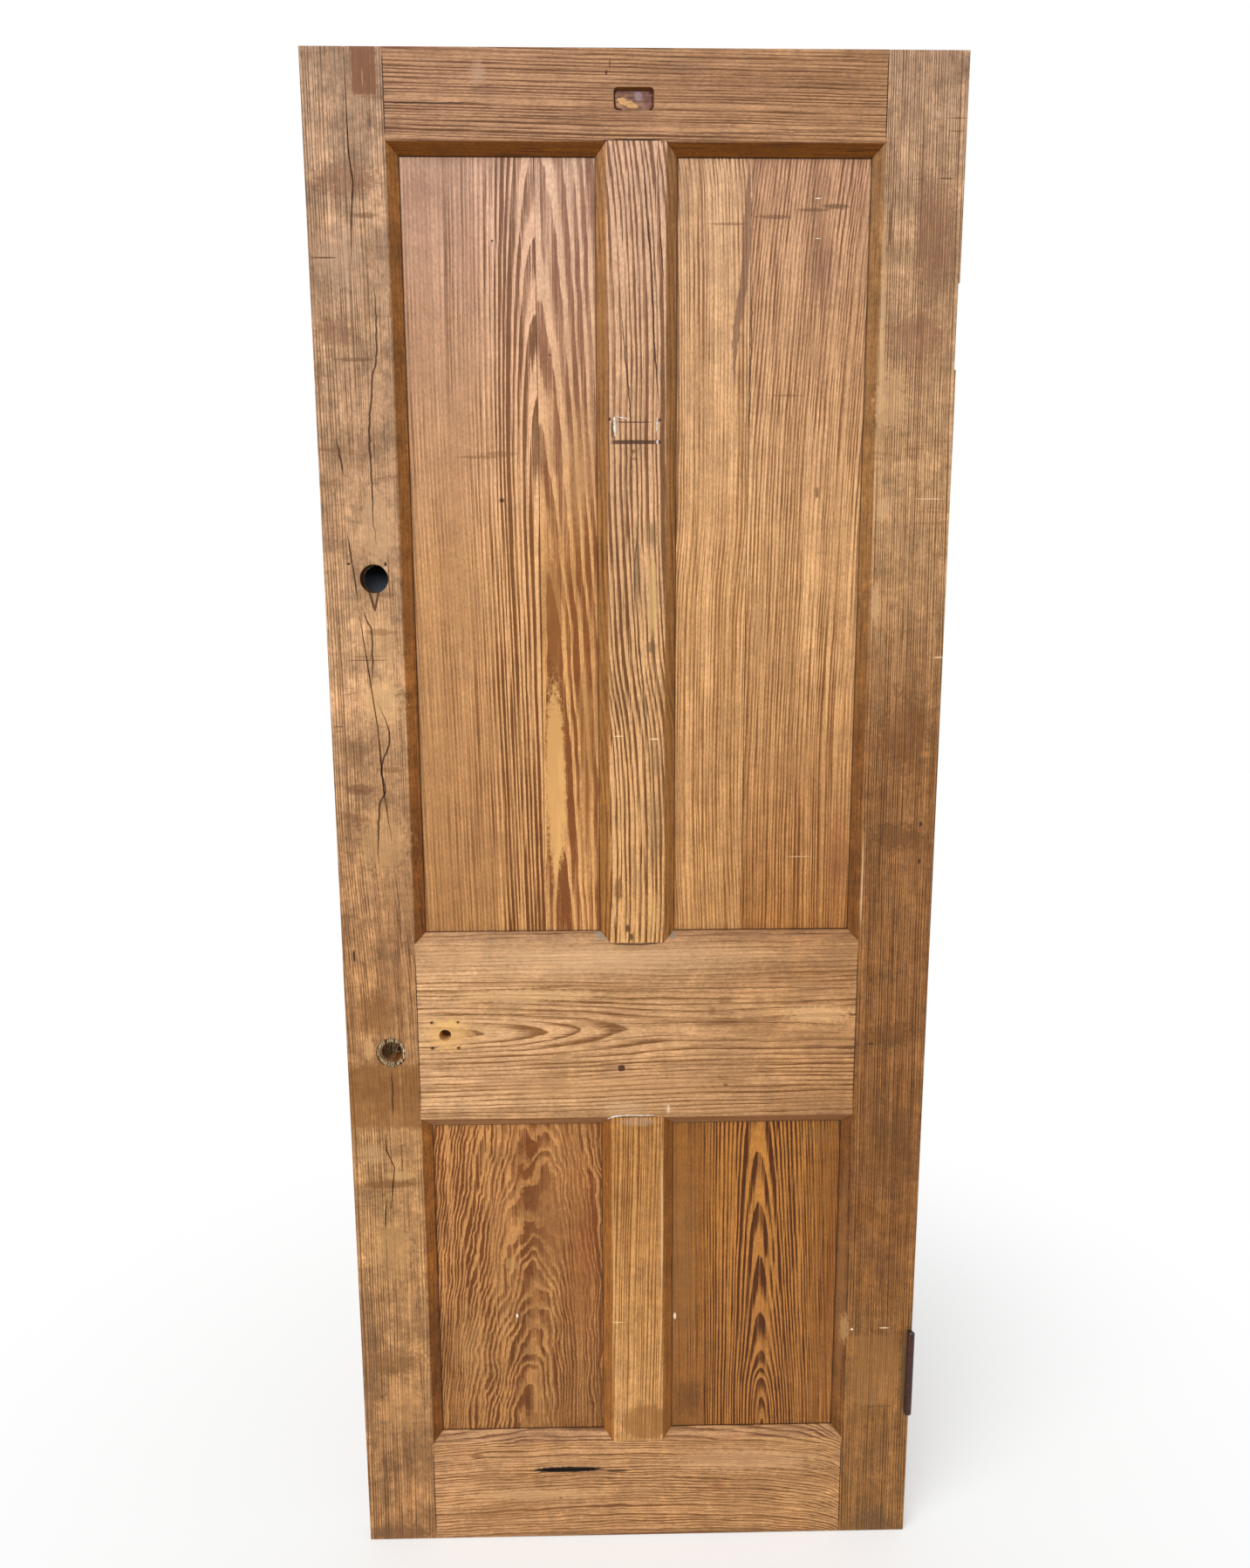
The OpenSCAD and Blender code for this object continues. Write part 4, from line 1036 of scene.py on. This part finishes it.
@dataclass(frozen=True)
class OldPaint:
    """Brittle oil paint left after stripping: chalky, cracked and greyed by dirt."""

    name: str
    clean: str
    dirty: str

    def make(self) -> bpy.types.Material:
        """Build the node material.

        Returns:
            The finished material.
        """
        material, sheet = blank_material(self.name)
        spot = millimetres(sheet)
        grime = sheet.add(Kind.NOISE, {"Vector": spot, "Scale": 1 / 2.5, "Detail": 4, "Roughness": 0.65})
        share = sheet.add(Kind.RANGE, (grime, 0.4, 0.66, 0, 1))
        colour = sheet.add(Kind.MIX, {0: share, 6: linear(self.clean), 7: linear(self.dirty)}, 2)
        rough = sheet.add(Kind.RANGE, (grime, 0.3, 0.7, 0.7, 0.9))
        bump = sheet.add(Kind.BUMP, {"Height": grime, "Strength": 0.4, "Distance": 0.3 * MM})
        shader = sheet.add(Kind.SHADER, {"Base Color": colour, "Roughness": rough, "Normal": bump, "IOR": 1.5})
        sheet.add(Kind.OUTPUT, {"Surface": shader})
        return material


def ripple(turn: np.ndarray, seed: float) -> np.ndarray:
    """Uneven wave of a closed turn: five sine waves whose phases follow from the seed.

    Args:
        turn: Angles in radians.
        seed: Any number; another one gives another wave.

    Returns:
        Values from about minus one to one.
    """
    waves = np.array([2, 3, 5, 9, 14])
    sizes = np.array([0.34, 0.28, 0.2, 0.12, 0.1])
    phases = seed * np.array([1.7, 2.9, 4.3, 6.1, 7.7])
    swings = np.sin(waves[:, None] * np.ravel(turn) + phases[:, None])
    return np.tensordot(sizes, swings, axes=1).reshape(np.shape(turn))


def skin(loops: np.ndarray, joined: bool) -> Surface:
    """Close loops of points, carried along a path, into triangles that face outwards.

    Args:
        loops: Points by loop, by place in the loop, by axis.
        joined: Whether the last loop meets the first, as in a collar; else each end closes on its middle.

    Returns:
        Points and triangles.
    """
    count, around = loops.shape[:2]
    spots = loops.reshape(-1, 3)
    step = np.arange(count if joined else count - 1)[:, None]
    slot = np.arange(around)[None, :]
    a = step * around + slot
    b = step * around + (slot + 1) % around
    c = (step + 1) % count * around + (slot + 1) % around
    d = (step + 1) % count * around + slot
    faces = np.concatenate([np.stack(corners, axis=-1).reshape(-1, 3) for corners in ((a, b, c), (a, c, d))])
    if not joined:
        first, last = len(spots), len(spots) + 1
        spots = np.concatenate([spots, loops[:1].mean(axis=1), loops[-1:].mean(axis=1)])
        ring = np.arange(around)
        follow_on = (ring + 1) % around
        base = (count - 1) * around
        start = np.stack([np.full(around, first), follow_on, ring], axis=-1)
        end = np.stack([np.full(around, last), base + ring, base + follow_on], axis=-1)
        faces = np.concatenate([faces, start, end])
    corners = spots[faces] - spots.mean(axis=0)
    volume = np.einsum("ij,ij->i", corners[:, 0], np.cross(corners[:, 1], corners[:, 2])).sum()
    return spots, faces if volume > 0 else faces[:, ::-1]


@dataclass
class WornPieces:
    """What use left on the door: torn wood at the knob hole, a nail, paint traces and filling in the recess."""

    knob: tuple[float, float] = KNOB
    rim_floor: float = -14
    recess: tuple[float, float] = (-3, 1927)
    recess_floor: float = -13
    nail: tuple[float, float] = (-22, 726)

    def build(self) -> None:
        """Make every worn piece and set it on the door."""
        torn = Pine("torn dry pine fibres", Grain.UPRIGHT, early=((600, "#c2a67e"), (900, "#c2a67e")),
                    late=((600, "#4a321d"), (900, "#4a321d")), pith_across=((0, -420),),
                    pith_depth=((0, 10),), ring=4, contrast=((0, 1.7),), wander=6, wild=7,
                    wild_size=(7, 10), mottle=0.4, chamfer=None).make()
        filling = Pine("broken stained filling, pine", Grain.LEVEL,
                       early=((-30, "#b08a68"), (30, "#a5766a")),
                       late=((-30, "#7d5644"), (30, "#5e3a36")), pith_across=((0, 1890),),
                       pith_depth=((0, 6),), ring=5, wild=4, mottle=0.5, chamfer=None,
                       marks=RECESS_MARKS).make()
        sliver = Pine("pale split pine sliver", Grain.LEVEL, early=((-30, "#dfae78"), (30, "#dfae78")),
                      late=((-30, "#b07f4c"), (30, "#b07f4c")), pith_across=((0, 1890),),
                      pith_depth=((0, 6),), ring=4, mottle=0.25, chamfer=None).make()
        white = OldPaint("old white oil paint", "#efe9df", "#a5978a").make()
        rust = Iron("rusted cut nail, forged iron", "#4a2713", "#5d3016", "#2c180d", metallic=0.2,
                    roughness=0.8).make()
        self._collar(torn)
        self._splinters(torn)
        self._recess_filling(filling, sliver)
        self._paint_traces(white)
        self._nail_head(rust)

    def _set_down(self, name: str, shape: Surface, finish: bpy.types.Material) -> None:
        """Put a surface into the scene and fasten it to the door.

        Args:
            name: Name of the piece.
            shape: Points in millimetres and triangles.
            finish: Its material.
        """
        spots, faces = shape
        mesh = bpy.data.meshes.new(name)
        mesh.from_pydata((spots * MM).tolist(), [], faces.tolist())
        mesh.polygons.foreach_set("use_smooth", np.ones(len(faces), dtype=bool))
        mesh.materials.append(finish)
        piece = show(name, mesh)
        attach(piece, DOOR_BODY)
        LOG.info("%s: %s", name, finish.name)

    def _strand(self, path: Path3, half_width: float, half_depth: float, seed: float) -> Surface:
        """A flat oval section carried along a path on the face, thinner at both ends and uneven between.

        Args:
            path: Points x, y, z in millimetres.
            half_width: Half the width across the path, in the face.
            half_depth: Half the thickness off the face.
            seed: Chooses the unevenness.

        Returns:
            Points and triangles.
        """
        knots = np.array(path)
        share = np.linspace(0, 1, 36)
        steps = np.linspace(0, 1, len(knots))
        line = np.stack([np.interp(share, steps, knots[:, i]) for i in range(3)], axis=1)
        ahead = np.gradient(line, axis=0)
        ahead /= np.linalg.norm(ahead, axis=1, keepdims=True)
        out = np.array([0, 1, 0])
        side = np.cross(ahead, out)
        turn = np.linspace(0, 2 * math.pi, 14, endpoint=False)
        taper = np.sqrt(np.clip(np.sin(math.pi * (0.03 + 0.94 * share)), 0, 1))
        swell = taper * (1 + 0.35 * ripple(6 * share, seed))
        loops = (line[:, None, :] + swell[:, None, None] * (
            half_width * np.cos(turn)[None, :, None] * side[:, None, :]
            + half_depth * np.sin(turn)[None, :, None] * out[None, None, :]))
        return skin(loops, joined=False)

    def _lump(self, middle: tuple[float, float, float], half: tuple[float, float, float], square: float,
              seed: float) -> Surface:
        """A rounded lump: circles of latitude squared off by a power and made uneven by a wave.

        Args:
            middle: Its centre in millimetres.
            half: Half sizes along x, y and z.
            square: Power on sine and cosine; one is an oval, less is boxier.
            seed: Chooses the unevenness.

        Returns:
            Points and triangles.
        """
        turn = np.linspace(0, 2 * math.pi, 40, endpoint=False)[None, :]
        rise = np.linspace(-0.48 * math.pi, 0.48 * math.pi, 17)[:, None]
        across = np.sign(np.cos(turn)) * np.abs(np.cos(turn)) ** square
        upward = np.sign(np.sin(turn)) * np.abs(np.sin(turn)) ** square
        reach = np.cos(rise) ** square * (1 + 0.12 * ripple(turn, seed))
        outward = np.sign(np.sin(rise)) * np.abs(np.sin(rise)) ** square + 0.12 * ripple(turn + 2 * rise, seed + 1)
        loops = np.stack([middle[0] + half[0] * reach * across, middle[1] + half[1] * outward,
                          middle[2] + half[2] * reach * upward], axis=-1)
        return skin(loops, joined=False)

    def _collar(self, torn: bpy.types.Material) -> None:
        """Torn wood on the knob hole's sunk rim: an oval section turned round the hole, its width and height uneven.

        Args:
            torn: Material of the torn wood.
        """
        turn = np.linspace(0, 2 * math.pi, 120, endpoint=False)[:, None]
        section = np.linspace(0, 2 * math.pi, 18, endpoint=False)[None, :]
        inner = 14.6 + 1.5 * ripple(turn, 1) + 0.5 * ripple(3 * turn, 2)
        outer = 20.6 + 1.9 * ripple(turn, 2.3) + 0.6 * ripple(3 * turn, 1.4)
        top = -16.6 + 1.4 * ripple(turn, 4.1) + 0.6 * ripple(4 * turn, 3.2)
        radius = (inner + outer) / 2 + (outer - inner) / 2 * np.cos(section)
        base = self.rim_floor + 0.3
        depth = (base + top) / 2 - (base - top) / 2 * np.sin(section) * (1 + 0.15 * ripple(turn + section, 5.2))
        loops = np.stack([self.knob[0] + radius * np.cos(turn), np.minimum(depth, base + 0.2),
                          self.knob[1] + radius * np.sin(turn)], axis=-1)
        self._set_down("knob_hole_torn_rim", skin(loops, joined=True), torn)

    def _splinters(self, torn: bpy.types.Material) -> None:
        """Dust and broken slivers in the knob hole: three slivers on its bottom and two down its right side.

        Args:
            torn: Material of the torn wood.
        """
        x, z = self.knob
        runs = (((x - 11, 8.2, z - 8), (x, 7.8, z - 9.5), (x + 9, 8, z - 8.5)),
                ((x - 12, 8.2, z - 4), (x, 7.6, z - 5), (x + 11.5, 8, z - 4.5)),
                ((x + 4, 8.2, z + 11), (x + 5, 7, z), (x + 4, 8.2, z - 11.5)),
                ((x + 11.8, -10, z + 7), (x + 12.2, -4, z + 2), (x + 12.6, 4, z - 4)),
                ((x + 8, -11, z + 10.6), (x + 9.4, -3, z + 9.4), (x + 9.6, 6, z + 8)))
        dust = self._lump((x, 8.7, z), (13, 0.9, 13), 1, 9)
        self._set_down("knob_hole_dust", dust, torn)
        for i, run in enumerate(runs):
            self._set_down(f"knob_hole_splinter_{i + 1}", self._strand(run, 1.5, 1.1, 3 + i), torn)

    def _recess_filling(self, filling: bpy.types.Material, sliver: bpy.types.Material) -> None:
        """Broken filling in the top rail's recess: a flat uneven lump, and a pale sliver lying across its left end.

        Args:
            filling: Material of the lump.
            sliver: Material of the sliver.
        """
        x, z = self.recess
        floor = self.recess_floor
        lump = self._lump((x, floor, z - 0.8), (22, 2, 10.6), 0.4, 2)
        self._set_down("recess_filling", lump, filling)
        run = ((x - 19, floor - 1.7, z + 1), (x - 9, floor - 2.3, z - 4), (x + 5, floor - 1.8, z - 8.4))
        self._set_down("recess_sliver", self._strand(run, 4.2, 0.9, 3), sliver)

    def _paint_traces(self, white: bpy.types.Material) -> None:
        """Paint that stayed behind: four beads where a small frame was nailed on, and one in the muntin's joint.

        Args:
            white: Material of the paint.
        """
        face = FACE_Y - 0.05
        beads = (("frame_paint_left", ((-27.4, face, 1571), (-27, face, 1560), (-26.6, face, 1547.5)), 1.7),
                 ("frame_paint_right", ((25.2, face, 1570), (25, face, 1562), (24.4, face, 1553.5)), 1),
                 ("frame_paint_corner", ((25, face, 1544), (25.4, face, 1541), (25.2, face, 1538.5)), 1.2),
                 ("frame_paint_top", ((-24, face, 1570.8), (-19, face, 1569.8), (-9, face, 1568.4)), 0.7),
                 ("joint_paint", ((-41, face, 652.5), (-34, face, 655.6), (-20, face, 657.4),
                                  (24, face, 657.2)), 0.9))
        for i, (name, path, half) in enumerate(beads):
            self._set_down(name, self._strand(path, half, 0.5, 1 + i), white)

    def _nail_head(self, rust: bpy.types.Material) -> None:
        """The square head of a cut nail, almost flush with the lock rail's face."""
        middle = (self.nail[0], FACE_Y + 0.3, self.nail[1])
        self._set_down("lock_rail_nail_head", self._lump(middle, (4.2, 0.9, 4), 0.55, 7), rust)


@dataclass
class Studio:
    """Pale floor, white surround, soft light from above and the left, and the photograph's camera."""

    camera_at: tuple[float, float, float] = (-0.0406, -1.3679, 1.3403)
    right: tuple[float, float, float] = (0.99981705, -0.01888999, -0.00300667)
    up: tuple[float, float, float] = (0.00606443, 0.16397054, 0.98644659)
    forward: tuple[float, float, float] = (0.01814096, 0.98628436, -0.1640551)
    lens: float = 24.30
    fill: float = 0.5
    sun: float = 2.3

    def build(self) -> None:
        """Set up the world, the lamps, the floor and the camera."""
        self._world()
        self._sky_light()
        self._floor()
        self._painted_shade_card()
        self._camera()
        bpy.context.scene.view_settings.view_transform = "Standard"

    def _world(self) -> None:
        """White to the camera and in reflections, and a lower even light on everything."""
        world = bpy.data.worlds.new("white surround")
        world.use_nodes = True
        bpy.context.scene.world = world
        sheet = Sheet(world.node_tree)
        strength = sheet.add(Kind.RANGE, (self._shown(sheet), 0, 1, self.fill, 1))
        glow = sheet.add(Kind.GLOW, {"Color": WHITE, "Strength": strength})
        sheet.add(Kind.WORLD_OUTPUT, {"Surface": glow})

    def _shown(self, sheet: Sheet) -> Socket:
        """Tell rays that show the ground, straight, mirrored or through glass, from rays that light things.

        Args:
            sheet: The tree to add to.

        Returns:
            One for a ray that shows the ground, else nought.
        """
        rays = ("Camera", "Glossy", "Transmission")
        camera, glossy, through = (sheet.add(Kind.LIGHT_PATH, out=f"Is {ray} Ray") for ray in rays)
        seen = sheet.add(Kind.LARGER, (camera, glossy))
        return sheet.add(Kind.LARGER, (seen, through))

    def _sky_light(self) -> None:
        """Hang one very soft sun, above and to the left of the camera, that lights the whole height evenly."""
        light = bpy.data.lights.new("soft sky", "SUN")
        light.energy = self.sun
        light.angle = math.radians(50)
        lamp = show("soft sky", light)
        lamp.rotation_euler = Vector((0.5, 0.8, -0.8)).to_track_quat("-Z", "Y").to_euler()

    def _floor(self) -> None:
        """Lay a wide pale floor just under the door."""
        half = 12
        level = -0.0006
        mesh = bpy.data.meshes.new("floor")
        corners = [(half * x, half * y, level) for x, y in ((-1, -1), (1, -1), (1, 1), (-1, 1))]
        mesh.from_pydata(corners, [], [(0, 1, 2, 3)])
        material, sheet = blank_material("white painted floor")
        paint = sheet.add(Kind.SHADER,
                          {"Base Color": linear("#f7f7f6"), "Roughness": 0.9, "Specular IOR Level": 0.1})
        spot = sheet.add(Kind.PLACE, out="Object")
        away = sheet.add(Kind.V_LENGTH, (spot,), "Value")
        white = sheet.add(Kind.SMOOTH, (away, 0.3, 1.4, 0.35, 1))
        share = sheet.add(Kind.TIMES, (white, self._shown(sheet)))
        glow = sheet.add(Kind.EMIT, {"Color": WHITE, "Strength": 1})
        blend = sheet.add(Kind.BLEND, (share, paint, glow))
        sheet.add(Kind.OUTPUT, {"Surface": blend})
        mesh.materials.append(material)
        show("floor", mesh)

    def _painted_shade_card(self) -> None:
        """Hang a small dark card in the latch hole as painted shade, standing for the darkness seen through the hole.
        """
        count = 48
        radius = 17.6
        depth = 8
        turn = np.linspace(0, 2 * math.pi, count, endpoint=False)
        spots = np.stack([LATCH[0] + radius * np.cos(turn), np.full(count, depth), LATCH[1] + radius * np.sin(turn)],
                         axis=1)
        mesh = bpy.data.meshes.new("painted_shade_card")
        mesh.from_pydata((spots * MM).tolist(), [], [tuple(range(count))])
        material, sheet = blank_material("matt painted shade card")
        z = sheet.add(Kind.PARTS, (millimetres(sheet),), "Z")
        low = sheet.add(Kind.RANGE, (z, LATCH[1] + 8, LATCH[1] - 17, 0, 1))
        # Painted shade: near black at the top, lighter and blue-grey lower down.
        colour = sheet.add(Kind.RAMP, (low,), stops=((0, linear("#0d0c0d")), (1, linear("#5b6670"))))
        shader = sheet.add(Kind.SHADER, {"Base Color": colour, "Roughness": 0.9, "Specular IOR Level": 0.1})
        sheet.add(Kind.OUTPUT, {"Surface": shader})
        mesh.materials.append(material)
        show("painted_shade_card", mesh)

    def _camera(self) -> None:
        """Place the camera that the photograph's own outline gives."""
        data = bpy.data.cameras.new("photograph")
        data.lens = self.lens
        data.sensor_width = 36
        data.clip_start = 0.05
        camera = show("photograph", data)
        back = [-c for c in self.forward]
        columns = zip(self.right, self.up, back, self.camera_at)
        camera.matrix_world = Matrix([list(row) for row in columns] + [[0, 0, 0, 1]])
        bpy.context.scene.camera = camera


def main() -> None:
    """Build the door's finishes and pieces in order, then the studio round it."""
    logging.basicConfig(level=logging.INFO, format="%(name)s: %(message)s")
    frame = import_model()
    timbers = Timbers(frame["nodes"])
    timbers.plan()
    timbers.dress()
    ButtHinge(frame["nodes"]).dress()
    WornPieces().build()
    Studio().build()


if __name__ == "__main__":
    main()
